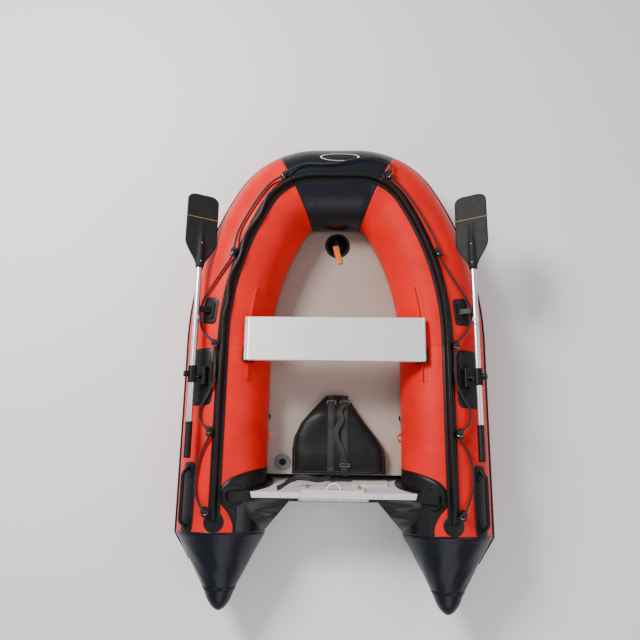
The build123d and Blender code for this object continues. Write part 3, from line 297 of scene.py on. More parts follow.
# ---- materials -----------------------------------------------------------
class Finish:
    """A node material for one finish, made up a layer at a time."""

    def __init__(self, name, colour, rough, metal=0.0, coat=0.0, sheen=0.0, specular=0.5):
        self.material = bpy.data.materials.new(name)
        self.material.use_nodes = True
        self.tree = self.material.node_tree
        self.shader = self.tree.nodes["Principled BSDF"]
        self.colour = colour
        inputs = self.shader.inputs
        inputs["Base Color"].default_value = (*colour, 1)
        inputs["Roughness"].default_value = rough
        inputs["Metallic"].default_value = metal
        inputs["Coat Weight"].default_value = coat
        inputs["Coat Roughness"].default_value = 0.25
        inputs["Sheen Weight"].default_value = sheen
        inputs["Specular IOR Level"].default_value = specular
        self.rough = rough
        self.place = self.tree.nodes.new("ShaderNodeTexCoord").outputs["Object"]
        self.normal = None

    def node(self, kind, **values):
        made = self.tree.nodes.new(kind)
        for key, value in values.items():
            if key in made.inputs:
                made.inputs[key].default_value = value
            else:
                setattr(made, key, value)
        return made

    def link(self, a, b):
        self.tree.links.new(a, b)

    def scaled(self, scale, turn=(0, 0, 0)):
        mapping = self.node("ShaderNodeMapping")
        mapping.inputs["Scale"].default_value = scale
        mapping.inputs["Rotation"].default_value = turn
        self.link(self.place, mapping.inputs["Vector"])
        return mapping.outputs["Vector"]

    def noise(self, scale, detail=3.0, vector=None, distortion=0.0):
        made = self.node("ShaderNodeTexNoise", Scale=scale, Detail=detail, Distortion=distortion)
        self.link(vector or self.place, made.inputs["Vector"])
        return made.outputs["Fac"]

    def wave(self, scale, turn=(0, 0, 0)):
        made = self.node("ShaderNodeTexWave", Scale=scale)
        self.link(self.scaled((1, 1, 1), turn), made.inputs["Vector"])
        return made.outputs["Fac"]

    def bump(self, height, strength, distance):
        made = self.node("ShaderNodeBump", Strength=strength, Distance=distance)
        self.link(height, made.inputs["Height"])
        if self.normal:
            self.link(self.normal, made.inputs["Normal"])
        self.normal = made.outputs["Normal"]
        self.link(self.normal, self.shader.inputs["Normal"])

    def join(self, a, b, operation="MULTIPLY"):
        made = self.node("ShaderNodeMath", operation=operation)
        self.link(a, made.inputs[0])
        self.link(b, made.inputs[1])
        return made.outputs[0]

    def mottle(self, factor, other, low=0.35, high=0.7):
        """Mixes the base colour towards another where factor is high."""
        ramp = self.node("ShaderNodeMapRange")
        ramp.inputs["From Min"].default_value = low
        ramp.inputs["From Max"].default_value = high
        self.link(factor, ramp.inputs["Value"])
        mix = self.node("ShaderNodeMix", data_type="RGBA")
        mix.inputs[6].default_value = (*self.colour, 1)
        source = self.shader.inputs["Base Color"]
        if source.is_linked:
            self.link(source.links[0].from_socket, mix.inputs[6])
        mix.inputs[7].default_value = (*other, 1)
        self.link(ramp.outputs["Result"], mix.inputs[0])
        self.link(mix.outputs[2], source)

    def wear(self, scale, spread):
        """Varies the gloss a little from place to place."""
        ramp = self.node("ShaderNodeMapRange")
        ramp.inputs["To Min"].default_value = max(self.rough - spread, 0.05)
        ramp.inputs["To Max"].default_value = self.rough + spread
        self.link(self.noise(scale, 4.0), ramp.inputs["Value"])
        self.link(ramp.outputs["Result"], self.shader.inputs["Roughness"])


def coated(name, colour, tint, rough, coat=0.0, crease=0.25, specular=0.5):
    """Plastic-coated fabric: a fine scrim under the gloss and slow creases."""
    finish = Finish(name, colour, rough, coat=coat, specular=specular)
    finish.mottle(finish.noise(5.0, 5.0), tint)
    finish.wear(14.0, 0.07)
    finish.bump(finish.noise(11.0, 3.0, distortion=0.6), crease, 0.004)
    scrim = finish.join(finish.wave(520.0, (0, 0, 0.785)), finish.wave(520.0, (0, 0, -0.785)))
    finish.bump(scrim, 0.10, 0.0004)
    finish.bump(finish.noise(900.0, 2.0), 0.12, 0.0003)
    return finish.material


def moulded(name, colour, rough, grain=600.0, specular=0.5):
    finish = Finish(name, colour, rough, specular=specular)
    paler = tuple(min(c * 1.4 + 0.002, 1) for c in colour)
    finish.mottle(finish.noise(30.0, 4.0), paler, 0.45, 0.8)
    finish.wear(40.0, 0.08)
    finish.bump(finish.noise(grain, 3.0), 0.25, 0.0004)
    return finish.material


def woven(name, colour, pitch, rough=0.8, sheen=0.3):
    finish = Finish(name, colour, rough, sheen=sheen)
    finish.mottle(finish.noise(25.0, 5.0), tuple(c * 1.5 + 0.002 for c in colour), 0.4, 0.75)
    weave = finish.join(finish.wave(pitch), finish.wave(pitch, (0, 0, 1.5708)), "ADD")
    finish.bump(weave, 0.4, 0.0006)
    finish.bump(finish.noise(45.0, 4.0), 0.2, 0.002)
    return finish.material


def metal(name, colour, rough, along=(1, 1, 1), metallic=1.0):
    finish = Finish(name, colour, rough, metal=metallic)
    finish.wear(30.0, 0.06)
    finish.bump(finish.noise(120.0, 1.0, finish.scaled(along)), 0.02, 0.0002)
    return finish.material


def diamond_floor(name, colour, painted_bow_shade):
    """Deck fabric with raised diamonds and painted shade: a little darker and browner towards the bow,
    where the bow's shadow falls on it.
    """
    finish = Finish(name, colour, 0.62)
    finish.mottle(finish.noise(3.0, 4.0), tuple(c * 0.9 for c in colour))
    split = finish.node("ShaderNodeSeparateXYZ")
    finish.link(finish.place, split.inputs[0])
    # painted shade: the colour is mixed towards the darker brown as Y rises, standing in for the bow's
    # shadow on the deck
    finish.mottle(split.outputs["Y"], painted_bow_shade, 0.1, 0.95)
    diamonds = finish.join(finish.wave(26.0, (0, 0, 0.96)), finish.wave(26.0, (0, 0, -0.96)))
    finish.bump(diamonds, 0.55, 0.0016)
    finish.mottle(diamonds, tuple(c * 0.8 for c in colour), 0.35, 0.9)
    finish.bump(finish.noise(700.0, 2.0), 0.15, 0.0004)
    return finish.material


def laminate(name, colour):
    """Pale laminate board with a faint grain."""
    finish = Finish(name, colour, 0.38, coat=0.2)
    grain = finish.noise(9.0, 6.0, finish.scaled((1.2, 9, 9)), 0.8)
    finish.mottle(grain, tuple(c * 0.86 for c in colour), 0.4, 0.75)
    finish.wear(12.0, 0.06)
    finish.bump(grain, 0.08, 0.0006)
    return finish.material


# each finish's maker, title, colour and the maker's other settings, where a colour given by
# its name is one that the panel sets
FINISHES = {
    "red": (coated, "red tube fabric", "tube_colour", (0.62, 0.004, 0.003), 0.44, 0.0, 0.2, 0.17),
    "bow": (coated, "bow patch fabric", "bow_colour", (0.003, 0.0035, 0.006),
            0.34, 0.06, 0.22, 0.3),
    "cone": (coated, "cone fabric", "cone_colour", (0.0015, 0.002, 0.006), 0.3, 0.05, 0.3, 0.28),
    "web": (coated, "glossy web fabric", (0.003, 0.003, 0.0035), (0.005, 0.005, 0.006),
            0.27, 0.12, 0.1, 0.4),
    "trim": (coated, "black trim fabric", (0.0045, 0.0045, 0.005), (0.009, 0.009, 0.01),
             0.4, 0.0, 0.2, 0.28),
    "bag": (coated, "bag vinyl", (0.0035, 0.0035, 0.0038), (0.008, 0.008, 0.0085),
            0.46, 0.0, 0.25, 0.28),
    "hull_cloth": (coated, "hull bottom fabric", (0.03, 0.03, 0.033), (0.02, 0.02, 0.02), 0.5),
    "inner": (coated, "inner fabric", (0.4, 0.4, 0.4), (0.35, 0.35, 0.35), 0.6),
    # the deck's last colour is painted shade, the darker brown of the bow's shadow on the deck
    "floor": (diamond_floor, "deck diamonds", "floor_colour", (0.30, 0.235, 0.19)),
    "laminate": (laminate, "transom laminate", (0.72, 0.69, 0.75)),
    "rubber": (moulded, "black rubber", (0.005, 0.005, 0.0055), 0.38, 900.0, 0.26),
    "moulded": (moulded, "moulded black", (0.005, 0.005, 0.006), 0.42, 600.0, 0.2),
    "valve": (moulded, "valve plastic", (0.16, 0.165, 0.18), 0.3),
    "blade": (moulded, "blade plastic", (0.014, 0.0145, 0.015), 0.55, 350.0, 0.16),
    "pad": (moulded, "pale pad", (0.66, 0.63, 0.59), 0.4, 500.0),
    "gold": (moulded, "blade line", (0.36, 0.24, 0.06), 0.5),
    "white": (moulded, "white plastic", (0.85, 0.85, 0.85), 0.4),
    "clamp": (metal, "painted clamp", (0.78, 0.77, 0.75), 0.32, (1, 1, 1), 0.1),
    "steel": (metal, "polished steel", (0.45, 0.45, 0.46), 0.18),
    "aluminium": (metal, "oar aluminium", (0.83, 0.84, 0.85), 0.28, (1, 0.03, 1)),
    "seat": (metal, "seat aluminium", (0.88, 0.89, 0.88), 0.36, (0.03, 1, 1), 0.4),
    "rope": (woven, "grab line", (0.0045, 0.0045, 0.0055), 420.0, 0.6, 0.1),
    "strap": (woven, "black webbing", (0.006, 0.006, 0.0065), 330.0, 0.55, 0.15),
    "red_strap": (woven, "red webbing", (0.6, 0.015, 0.012), 330.0),
    "orange": (woven, "orange webbing", (0.85, 0.18, 0.01), 330.0),
}
MATERIALS = {}


def material(look):
    """The finish of that name, made the first time it is asked for."""
    if look not in MATERIALS:
        maker, title, colour, *rest = FINISHES[look]
        if isinstance(colour, str):
            colour = tuple(getattr(bpy.context.scene.dinghy_looks, colour))
        MATERIALS[look] = maker(title, colour, *rest)
    return MATERIALS[look]


# ---- sizes and colours a user would change -------------------------------
class DinghyLooks(bpy.types.PropertyGroup):
    tube_colour: bpy.props.FloatVectorProperty(
        name="Tube colour", description="Fabric of the red air tubes", subtype="COLOR",
        default=(0.82, 0.005, 0.004),
    )
    bow_colour: bpy.props.FloatVectorProperty(
        name="Bow colour", description="Fabric of the bow's patch", subtype="COLOR",
        default=(0.0045, 0.006, 0.013),
    )
    cone_colour: bpy.props.FloatVectorProperty(
        name="Cone colour", description="Fabric of the stern cones", subtype="COLOR",
        default=(0.002, 0.003, 0.010),
    )
    floor_colour: bpy.props.FloatVectorProperty(
        name="Deck colour", description="Fabric of the air deck", subtype="COLOR",
        default=(0.47, 0.405, 0.345),
    )
    rope_diameter: bpy.props.FloatProperty(
        name="Line diameter", description="Thickness of the grab lines", default=0.011,
        unit="LENGTH",
    )
    rope_lay: bpy.props.FloatProperty(
        name="Line lay", description="Run of the line in one turn of its strands", default=0.036,
        unit="LENGTH",
    )
    fin_height: bpy.props.FloatProperty(
        name="Fin height", description="Height of the spray fins over the tube", default=0.032,
        unit="LENGTH",
    )
    bag_height: bpy.props.FloatProperty(
        name="Bag height", description="Height of the gear bag on the deck", default=0.092,
        unit="LENGTH",
    )


# ---- tubes ---------------------------------------------------------------
TUBE_SIDES = 108
SEAM_HALF = 0.011
SEAM_THICK = 0.0006


def crease(s, angle, way):
    """How far the skin draws in: puckers inside the bends and a slow unevenness."""
    inner = max(-math.sin(angle), 0.0) ** 2
    bend = ease((s - S_QUARTER) / 0.2)
    pucker = (0.5 + 0.5 * math.sin(s * 150 + 1.7 * math.sin(angle * 5 + s * 9))) ** 3
    slow = 0.5 + 0.5 * math.sin(s * 7.3 + angle * 3 + way) * math.sin(angle * 4 - s * 3)
    return 0.0009 * pucker * inner * bend + 0.0005 * slow


def tube_rows(start, end, step, way):
    count = max(2, int((end - start) / step))
    stations = [start + (end - start) * i / count for i in range(count + 1)]
    return [[skin(s, a, -crease(s, a, way), way) for a in turns(TUBE_SIDES)] for s in stations]


def band(name, start, end, thick, way, look, slot):
    """A glued tape right round the tube, thinned to nothing where the tube meets the ground."""
    rows = []
    middle = [(start + 0.001 + (end - start - 0.002) * i / 12, thick) for i in range(13)]
    for s, height in [(start, 0.0), *middle, (end, 0.0)]:
        rows.append([skin(s, a, height * ease(1 + math.cos(a)), way) for a in turns(TUBE_SIDES)])
    return grid(name, rows, look)


class DINGHY_OT_tubes(bpy.types.Operator):
    """Make the two red air tubes and the dark bow patch"""

    bl_idname = "dinghy.tubes"
    bl_label = "Air tubes"

    def execute(self, context):
        for name, way in SIDES:
            rows = tube_rows(0.0, S_PATCH, 0.008, way)
            tube = grid(name + "_air_tube", rows, "red")
            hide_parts(name + "_side_tube", name + "_bow_quarter", name + "_bow_shoulder")
        starboard = tube_rows(S_PATCH, S_END, 0.006, 1)
        port = [[turn_way(p, -1) for p in row] for row in reversed(starboard[:-1])]
        bow = grid("bow_patch_tube", starboard + port, "bow")
        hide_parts("bow_tube")
        seams = (
            ("bow", S_PATCH + 0.010, "bow", "bow_dark"), ("mid", s_round(0.4), "red", "hull_red"),
        )
        for name, way in SIDES:
            for tag, s, *finish in seams:
                ends = (s - SEAM_HALF, s + SEAM_HALF)
                band(f"{name}_{tag}_seam", *ends, SEAM_THICK, way, *finish)
        return {"FINISHED"}


CONE_SKIN = 0.262
CAP_EDGE = -0.238
CAP_LENGTH = 0.080
CAP_R = 0.0667


class DINGHY_OT_cones(bpy.types.Operator):
    """Make the stern cones and their rubber tips"""

    bl_idname = "dinghy.cones"
    bl_label = "Stern cones"

    def execute(self, context):
        for name, way in SIDES:
            rows = []
            for i in range(45):
                run = CONE_SKIN * i / 44
                slack = math.sin(math.pi * run / CONE_RUN)
                row = []
                for a in turns(96):
                    fold = 0.0016 * math.sin(a * 7 + run * 16) * math.sin(a * 3 + run * 30 + way)
                    row.append(skin(-run, a, (fold - 0.0018) * slack, way))
                rows.append(row)
            cone = grid(name + "_cone", rows, "cone")
            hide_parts(name + "_stern_cone")
            band(name + "_cone_tape", -0.016, 0.010, 0.001, way, "cone", "cone_black")
            rows = [[skin(CAP_EDGE - back, a, lift, way) for a in turns(72)]
                    for back, lift in ((0.0, 0.0), (0.001, 0.0014))]
            axis = (station(-0.29, way)[0] - station(0, way)[0]).normalized()
            root, out, up, _ = station(-CONE_SKIN, way)
            for i in range(19):
                u = 1 - (1 - i / 18) ** 2
                radius = CAP_R * math.sqrt(max(1 - u**2.5, 0.0004)) * (1 - 0.38 * u)
                spot = root + axis * (CAP_LENGTH * u)
                rows.append([spot + (out * math.sin(a) + up * math.cos(a)) * radius for a in turns(72)])
            grid(name + "_cone_tip", rows, "cone")
        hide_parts("cone_tips")
        return {"FINISHED"}


# ---- trim ----------------------------------------------------------------
FIN_SIDE = ((0.0045, 0.985), (0.0072, 0.9), (0.0095, 0.62), (0.0118, 0.3))
STRAKE_SIDE = (
    (0.23, 1.0), (0.34, 0.86), (0.45, 1.0), (0.7, 0.97), (0.9, 0.78), (0.99, 0.4), (1.0, 0.0),
)


def mirrored(side):
    """The whole of a section that is given from its middle out to its edge."""
    return [(-u, v) for u, v in reversed(side) if u] + list(side)


def fin_profile(s):
    """The fin's section: a glued foot under a hollow ridge, tapered off at its aft end."""
    tall = bpy.context.scene.dinghy_looks.fin_height * (0.35 + 0.65 * ease((s - 0.06) / 0.05))
    tape = GLUE + PATCH
    side = [(0.0, tape + tall), *((u, tape + tall * v) for u, v in FIN_SIDE), (0.0142, tape + 0.002),
            (0.018, tape + 0.0002), (0.0272, tape), (0.028, GLUE)]
    return mirrored(side)


def fin_wave(s, way):
    """Sideways sway of the ridge for each metre of its height."""
    slow = 0.05 * math.sin(s * 5.1 + way) + 0.03 * math.sin(s * 11.3)
    if way < 0:
        lively = ease((s - 0.95) / 0.15) * (1 - ease((s - 1.65) / 0.12))
        slow += lively * (0.16 + 0.22 * math.sin(s * 27))
    return slow


def strake_profile(s):
    """A rubbing strake with two shallow grooves, as wide as it is in the frame."""
    aft = ease(-s / 0.11)
    half = 0.029 - 0.012 * aft
    thick = 0.0115 * (1 - 0.55 * aft)
    return [(u * half, GLUE + v * thick) for u, v in mirrored(STRAKE_SIDE)]


class DINGHY_OT_trim(bpy.types.Operator):
    """Make the spray fins and the rubbing strake"""

    bl_idname = "dinghy.trim"
    bl_label = "Fins and strake"

    def execute(self, context):
        for name, way in SIDES:
            fin = hull_strip(name + "_spray_fin", 0.06, S_PATCH, 0.01, fin_profile, way, fin_wave)
            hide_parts(name + "_top_fin")
        bow = hull_strip("bow_spray_fin", S_PATCH, S_END, 0.008, fin_profile, 1, both=True)
        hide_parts("bow_fin")
        strake = hull_strip("rubbing_strake", -0.12, S_END, 0.012, strake_profile, 1, both=True,
                            base=math.pi / 2)
        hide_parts("rub_strake")
        return {"FINISHED"}


RING_STATIONS = (
    s_at(-0.715), s_at(-0.353), s_round(0.0), s_round(19.1),
    S_SHOULDER + SHOULDER_R * (math.radians(60) - TURN),
)
RING_ANGLE = math.radians(9.3)
RING_PATCH_ANGLE = math.radians(12.2)
EYE_HEIGHT = 0.0100
# name, station, degrees outboard, half run, half width, squareness, share of the glue under it
GLUED = (
    ("rowlock", s_at(-0.093), 29, 0.138, 0.066, 7.0, 1),
    ("handle", s_at(-0.652), 40, 0.158, 0.044, 6.0, 1),
    ("clip", s_round(6.6), 23, 0.062, 0.0403, 6.0, 1),
    ("fin_end", s_at(-0.76), 0, 0.046, 0.046, 2.0, 0.4),
)
STERN_OUTLINE = (
    (0.0, -0.086), (0.045, -0.086), (0.095, -0.062), (0.140, -0.026), (0.190, -0.020),
    (0.235, -0.048), (0.262, -0.095), (0.285, -0.170), (0.300, -0.260), (0.300, -0.420),
    (0.0, -0.420), (0.0, -0.086),
)


class DINGHY_OT_patches(bpy.types.Operator):
    """Make the glued patches, the ring patches and their strap eyes"""

    bl_idname = "dinghy.patches"
    bl_label = "Patches"

    def execute(self, context):
        outline = smooth_points([(x, y, 0) for x, y in STERN_OUTLINE], 8)[:-1]
        for name, way in SIDES:
            for tag, s, angle, run, across, power, share in GLUED:
                patch(f"{name}_{tag}_patch", way, s, math.radians(angle), run, across,
                                   power, lift=GLUE * share)
            rows = []
            for i in range(12):
                rho = min(i / 9, 1.0)
                height = 0.0014 if i < 11 else 0.0001
                rows.append([skin(0.13 + (q.x - 0.13) * rho, 0.0, height, way,
                                  -0.23 + (q.y + 0.23) * rho) for q in outline])
            grid(f"{name}_stern_patch", rows, "trim")
            for k, s in enumerate(RING_STATIONS):
                patch(f"{name}_ring_patch_{k}", way, s, RING_PATCH_ANGLE, 0.024,
                                   0.0150, 4.0, thick=0.0016)
                rows = []
                for i in range(13):
                    a = math.pi * i / 12
                    run = 0.007 * math.cos(a) * (1 - 0.35 * math.sin(a))
                    top = GLUE + PATCH + EYE_HEIGHT * math.sin(a) ** 0.6
                    rows.append([skin(s + run, RING_ANGLE, top - thin, way, across) for across, thin in
                                 ((-0.004, 0.0006), (-0.0036, 0.0), (0.0036, 0.0), (0.004, 0.0006))])
                cloth(f"{name}_ring_eye_{k}", rows, "strap")
        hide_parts("patches")
        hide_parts("ring_patches")
        return {"FINISHED"}


# ---- grab lines, their routes in millimetres -----------------------------
STARBOARD_LINE = (
    (272, 900, 521), (312, 872, 505), (372, 790, 498), (430, 695, 489),
    (478, 605, 479), (498, 528, 493), (507, 494, 470), (548, 425, 460),
    (600, 350, 442), (650, 283, 415), (667, 222, 403), (646, 150, 414),
    (607, 98, 427), (579, 71, 450), (576, 36, 428), (569, -20, 432),
    (568, -110, 432), (602, -190, 425), (640, -245, 410), (628, -315, 415),
    (579, -342, 449), (576, -380, 430), (612, -425, 421), (640, -510, 410),
    (635, -600, 412), (610, -665, 422), (579, -720, 450),
)
PORT_LINE = (
    (-272, 900, 521), (-318, 890, 503), (-378, 815, 497), (-436, 720, 487),
    (-486, 625, 477), (-498, 528, 493), (-507, 494, 470), (-552, 430, 459),
    (-605, 350, 440), (-652, 285, 414), (-669, 215, 401), (-652, 140, 410),
    (-612, 94, 425), (-579, 71, 450), (-576, 36, 428), (-569, -20, 432),
    (-569, -115, 432), (-600, -195, 425), (-636, -245, 412), (-630, -315, 414),
    (-579, -342, 449), (-576, -380, 430), (-611, -437, 422), (-631, -527, 414),
    (-636, -616, 412), (-618, -680, 419), (-579, -720, 450),
)
BOW_LINE = (
    (-261, 908, 529), (-205, 962, 508), (-140, 982, 508), (-60, 972, 510),
    (30, 987, 507), (110, 1012, 499), (190, 1024, 489), (258, 1008, 488),
    (284, 968, 503), (258, 914, 531),
)
ROPE_STEP = 0.0025
STRAND_DIP = 0.14
HITCH_TURNS = 2.6
HITCH_R = 0.0095
HITCH_RUN = 0.026


def drawn(name, points):
    """The points of one smooth spline drawn along a route."""
    curve = bpy.data.curves.new(name + "_route", "CURVE")
    curve.dimensions = "3D"
    spline = curve.splines.new("NURBS")
    spline.points.add(len(points) - 1)
    for place, point in zip(spline.points, points):
        place.co = (point[0] / 1000, point[1] / 1000, point[2] / 1000, 1)
    spline.order_u = 3
    spline.use_endpoint_u = True
    curve.resolution_u = 16
    route = bpy.data.objects.new(name + "_route", curve)
    bpy.context.scene.collection.objects.link(route)
    bpy.context.view_layer.update()
    line = bpy.data.meshes.new_from_object(route)
    path = [vertex.co.copy() for vertex in line.vertices]
    bpy.data.objects.remove(route)
    bpy.data.meshes.remove(line)
    return path


def hitch(path, eye, radius):
    """The rows of a coil of line round a path where it is nearest to an eye."""
    k = min(range(1, len(path) - 1), key=lambda n: (path[n] - eye).length)
    ahead = (path[k + 1] - path[k - 1]).normalized()
    first = ahead.orthogonal().normalized()
    second = ahead.cross(first)
    coil = []
    for i in range(65):
        turn = 2 * math.pi * HITCH_TURNS * i / 64
        reach = first * math.cos(turn) + second * math.sin(turn)
        spot = path[k] + reach * HITCH_R + ahead * (HITCH_RUN * (i / 64 - 0.5))
        along = (second * math.cos(turn) - first * math.sin(turn) + ahead * 0.16).normalized()
        over = along.cross(reach)
        coil.append([spot + (reach * math.cos(a) + over * math.sin(a)) * radius for a in turns(12)])
    return coil


def rope(name, points, node, eyes):
    """A laid line along its route, with a hitch at each of its eyes."""
    look = bpy.context.scene.dinghy_looks
    path = drawn(name, points)
    radius = look.rope_diameter / 2
    lengths = [0.0]
    for a, b in zip(path, path[1:]):
        lengths.append(lengths[-1] + (b - a).length)
    total = lengths[-1]
    count = int(total / ROPE_STEP)
    rows = []
    normal = None
    for i in range(count + 1):
        at = total * i / count
        k = min(max(int(np.searchsorted(lengths, at)) - 1, 0), len(path) - 2)
        t = (at - lengths[k]) / max(lengths[k + 1] - lengths[k], 1e-9)
        spot = path[k].lerp(path[k + 1], t)
        ahead = (path[min(k + 2, len(path) - 1)] - path[max(k - 1, 0)]).normalized()
        if normal is None:
            normal = ahead.orthogonal().normalized()
        normal = (normal - ahead * normal.dot(ahead)).normalized()
        side = ahead.cross(normal)
        turn = 2 * math.pi * at / look.rope_lay
        row = []
        for a in turns(18):
            r = radius * (1 - STRAND_DIP + STRAND_DIP * abs(math.cos(1.5 * (a - turn))))
            row.append(spot + (normal * math.cos(a) + side * math.sin(a)) * r)
        rows.append(row)
    piece = grid(name, rows, "rope")
    tubes(name + "_hitches", [hitch(path, eye, radius * 0.86) for eye in eyes], "rope")
    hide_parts(node)


class DINGHY_OT_lines(bpy.types.Operator):
    """Make the three grab lines"""

    bl_idname = "dinghy.lines"
    bl_label = "Grab lines"

    def execute(self, context):
        eyes = [skin(s, RING_ANGLE, 0.020) for s in RING_STATIONS]
        port_eyes = [turn_way(eye, -1) for eye in eyes]
        rope("starboard_grab_line", STARBOARD_LINE, "starboard_lifeline", eyes[:4])
        rope("port_grab_line", PORT_LINE, "port_lifeline", port_eyes[:4])
        rope("bow_grab_line", BOW_LINE, "bow_lifeline", [eyes[4], port_eyes[4]])
        return {"FINISHED"}


# ---- bench ---------------------------------------------------------------
RIBS = 34
RIB_INSET = 0.0045
GROOVE = 0.0007
CORNER = 0.006


def plank_section(low, high):
    """The plank's (y, z) outline, ribbed along its top."""
    section = []
    for i in range(RIBS * 4 + 1):
        t = i / (RIBS * 4)
        y = low.y + RIB_INSET + (high.y - low.y - 2 * RIB_INSET) * t
        groove = GROOVE * (0.5 - 0.5 * math.cos(2 * math.pi * t * RIBS))
        section.append((y, high.z - 0.0001 - groove))
    edge = [(0.0, high.z - 0.006), (0.0, low.z + 0.006), (0.0015, low.z + 0.0016), (0.005, low.z)]
    section.append((high.y - 0.0015, high.z - 0.0018))
    section += [(high.y - inward, z) for inward, z in edge]
    section += [(low.y + inward, z) for inward, z in reversed(edge)]
    section.append((low.y + 0.0015, high.z - 0.0018))
    return section


class DINGHY_OT_bench(bpy.types.Operator):
    """Make the ribbed bench plank"""

    bl_idname = "dinghy.bench"
    bl_label = "Bench"

    def execute(self, context):
        low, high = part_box("seat_plank")
        section = plank_section(low, high)
        middle = (low.y + high.y) / 2
        half = (high.y - low.y) / 2

        def end(y):
            away = max(abs(y - middle) - (half - CORNER), 0.0)
            return high.x - CORNER + math.sqrt(max(CORNER**2 - away**2, 0.0))

        rows = []
        for i in range(-18, 19):
            rows.append([Vector((end(y) * i / 18, y, z)) for y, z in section])
        plank = grid("bench_plank", rows, "seat", "seat")
        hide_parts("seat_plank")
        for name, way in SIDES:
            rows = []
            for step, grow in ((0.0, 0.0), (0.0, 0.0008), (0.012, 0.0008), (0.012, 0.0)):
                row = []
                for y, z in section:
                    lift = grow if z > (low.z + high.z) / 2 else -grow
                    row.append(Vector((way * (end(y) - 0.002 - step), y, z + lift)))
                rows.append(row)
            grid("bench_end_" + name, rows, "pad", "seat")
        return {"FINISHED"}


# ---- oars ----------------------------------------------------------------
PIN_RISE = math.radians(30)
BLADE_NECK = 0.440
BLADE_TIP = 0.825
BLADE_WIDE = 0.0815
BLADE_CORNER = 0.10
BLADE_LINE = 0.700
GRIP_END = -0.480
GRIP = 0.165


def oar_frame(name, way):
    """The oar's place and the two ways across it: along the pin, and out of the blade."""
    joint = next(j for j in FRAME["joints"] if j["name"] == name + "_oar_sweep")
    pin = Vector((way * math.cos(PIN_RISE), 0, math.sin(PIN_RISE)))
    face = Vector((-way * math.sin(PIN_RISE), 0, math.cos(PIN_RISE)))
    return Vector(joint["pos_m"]), pin, face


def blade_half(t):
    """Half width of the blade at t from its neck, 0, to its tip, 1."""
    if t < 0.36:
        return 0.019 + (BLADE_WIDE - 0.019) * ease(t / 0.36) ** 0.9
    if t > 1 - BLADE_CORNER:
        u = (t - 1 + BLADE_CORNER) / BLADE_CORNER
        return BLADE_WIDE - 0.036 * (1 - math.sqrt(max(1 - u * u, 0.0)))
    return BLADE_WIDE


def blade_face(t, u):
    """Height of the blade's face over its middle plane at t along it and u across, -1 to 1."""
    spine = 0.0150 * max(1 - t / 0.70, 0.0) ** 0.8
    near = math.exp(-((u * blade_half(t)) / 0.0135) ** 2)
    rib = 0.0011 * math.exp(-((abs(u) - 0.93) / 0.03) ** 2)
    return 0.0032 * (1 - abs(u) ** 8) + 0.0006 + spine * near + rib


def blade_dish(t, u):
    """How far the blade's middle plane is dished at a place."""
    return 0.4 * (0.004 - 0.006 * (1 - u * u) * ease(t / 0.4))


class DINGHY_OT_oars(bpy.types.Operator):
    """Make the oar blades, grips, sleeves and joints"""

    bl_idname = "dinghy.oars"
    bl_label = "Oars"

    def execute(self, context):
        for name, way in SIDES:
            at, pin, face = oar_frame(name, way)
            ahead = Vector((0, 1, 0))
            body = name + "_oar"
            neck = BLADE_NECK - at.y
            back = GRIP_END - at.y

            def on_blade(y, u, side=1, lift=0.0):
                t = (y - BLADE_NECK) / (BLADE_TIP - BLADE_NECK)
                high = side * blade_face(t, u) + blade_dish(t, u) + lift
                return at + ahead * (y - at.y) + pin * (u * blade_half(t)) + face * high

            rows = []
            for i in range(61):
                y = BLADE_NECK + (BLADE_TIP - BLADE_NECK) * i / 60
                over = [on_blade(y, k / 16) for k in range(-16, 17)]
                under = [on_blade(y, k / 16, -1) for k in range(16, -17, -1)]
                rows.append(over + under)
            blade = grid(name + "_blade", rows, "blade", body)
            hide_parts(name + "_oar_blade")
            sleeve = ((-0.004, 0.0165), (0, 0.0188), (0.02, 0.0192), (0.11, 0.0176), (0.16, 0.012),
                      (0.20, 0.005), (0.222, 0.001))
            lathe(name + "_blade_socket", at, ahead, [(neck + run, r) for run, r in sleeve], "blade",
                  body)
            rivet = [(0.0, 0.0052), (0.0035, 0.005), (0.0055, 0.0035), (0.0062, 0.001)]
            for spot in (0.468, 0.563):
                lathe(f"{name}_rivet_{int(spot * 1000)}", at + ahead * (spot - at.y) + face * 0.015,
                      face, rivet, "steel", body, 24)
            line = []
            for run, lift in ((-0.0013, 0.0), (-0.0009, 0.0006), (0.0009, 0.0006), (0.0013, 0.0)):
                cells = np.linspace(-0.97, 0.97, 41)
                line.append([on_blade(BLADE_LINE + run, u, lift=lift) for u in cells])
            grid(name + "_blade_line", line, "gold", body, loop=False)
            ribs = [(0, 0.012), (0.002, 0.0158), (0.006, 0.0168)]
            for k in range(12):
                ribs += [(0.012 + k * 0.0118 + run, r) for run, r in
                         ((0, 0.0168), (0.0028, 0.0158), (0.0062, 0.0158), (0.009, 0.0168))]
            ribs += [(GRIP - 0.006, 0.0168), (GRIP - 0.002, 0.0162), (GRIP, 0.0143)]
            grip = lathe(name + "_grip", at, ahead, [(back + run, r) for run, r in ribs], "rubber",
                         body)
            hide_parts(name + "_oar_grip")
            joint = [(0.270, 0.0139), (0.271, 0.0152), (0.285, 0.0152), (0.286, 0.0139)]
            lathe(name + "_shaft_joint", at, ahead, joint, "clamp", body)
            lathe(name + "_shaft_button", at + ahead * 0.252 + face * 0.0132, face,
                  [(0, 0.0042), (0.002, 0.004), (0.0032, 0.0022)], "steel", body, 20)
        return {"FINISHED"}


# ---- transom and its webs ------------------------------------------------
TRANSOM_RAKE = math.radians(12)
HOLDER_DISC = 0.0120
HOLDER_RIM = (
    (-0.001, 0.0475), (0.0016, 0.0468), (0.0024, 0.0445), (0.0016, 0.0422), (-0.001, 0.0415),
)


def on_transom(x, high, off):
    """A point of the raked board: high up its inner face, off aft of it."""
    lean, upright = math.sin(TRANSOM_RAKE), math.cos(TRANSOM_RAKE)
    return Vector((x, -0.540 - lean * high - upright * off, upright * high - lean * off))


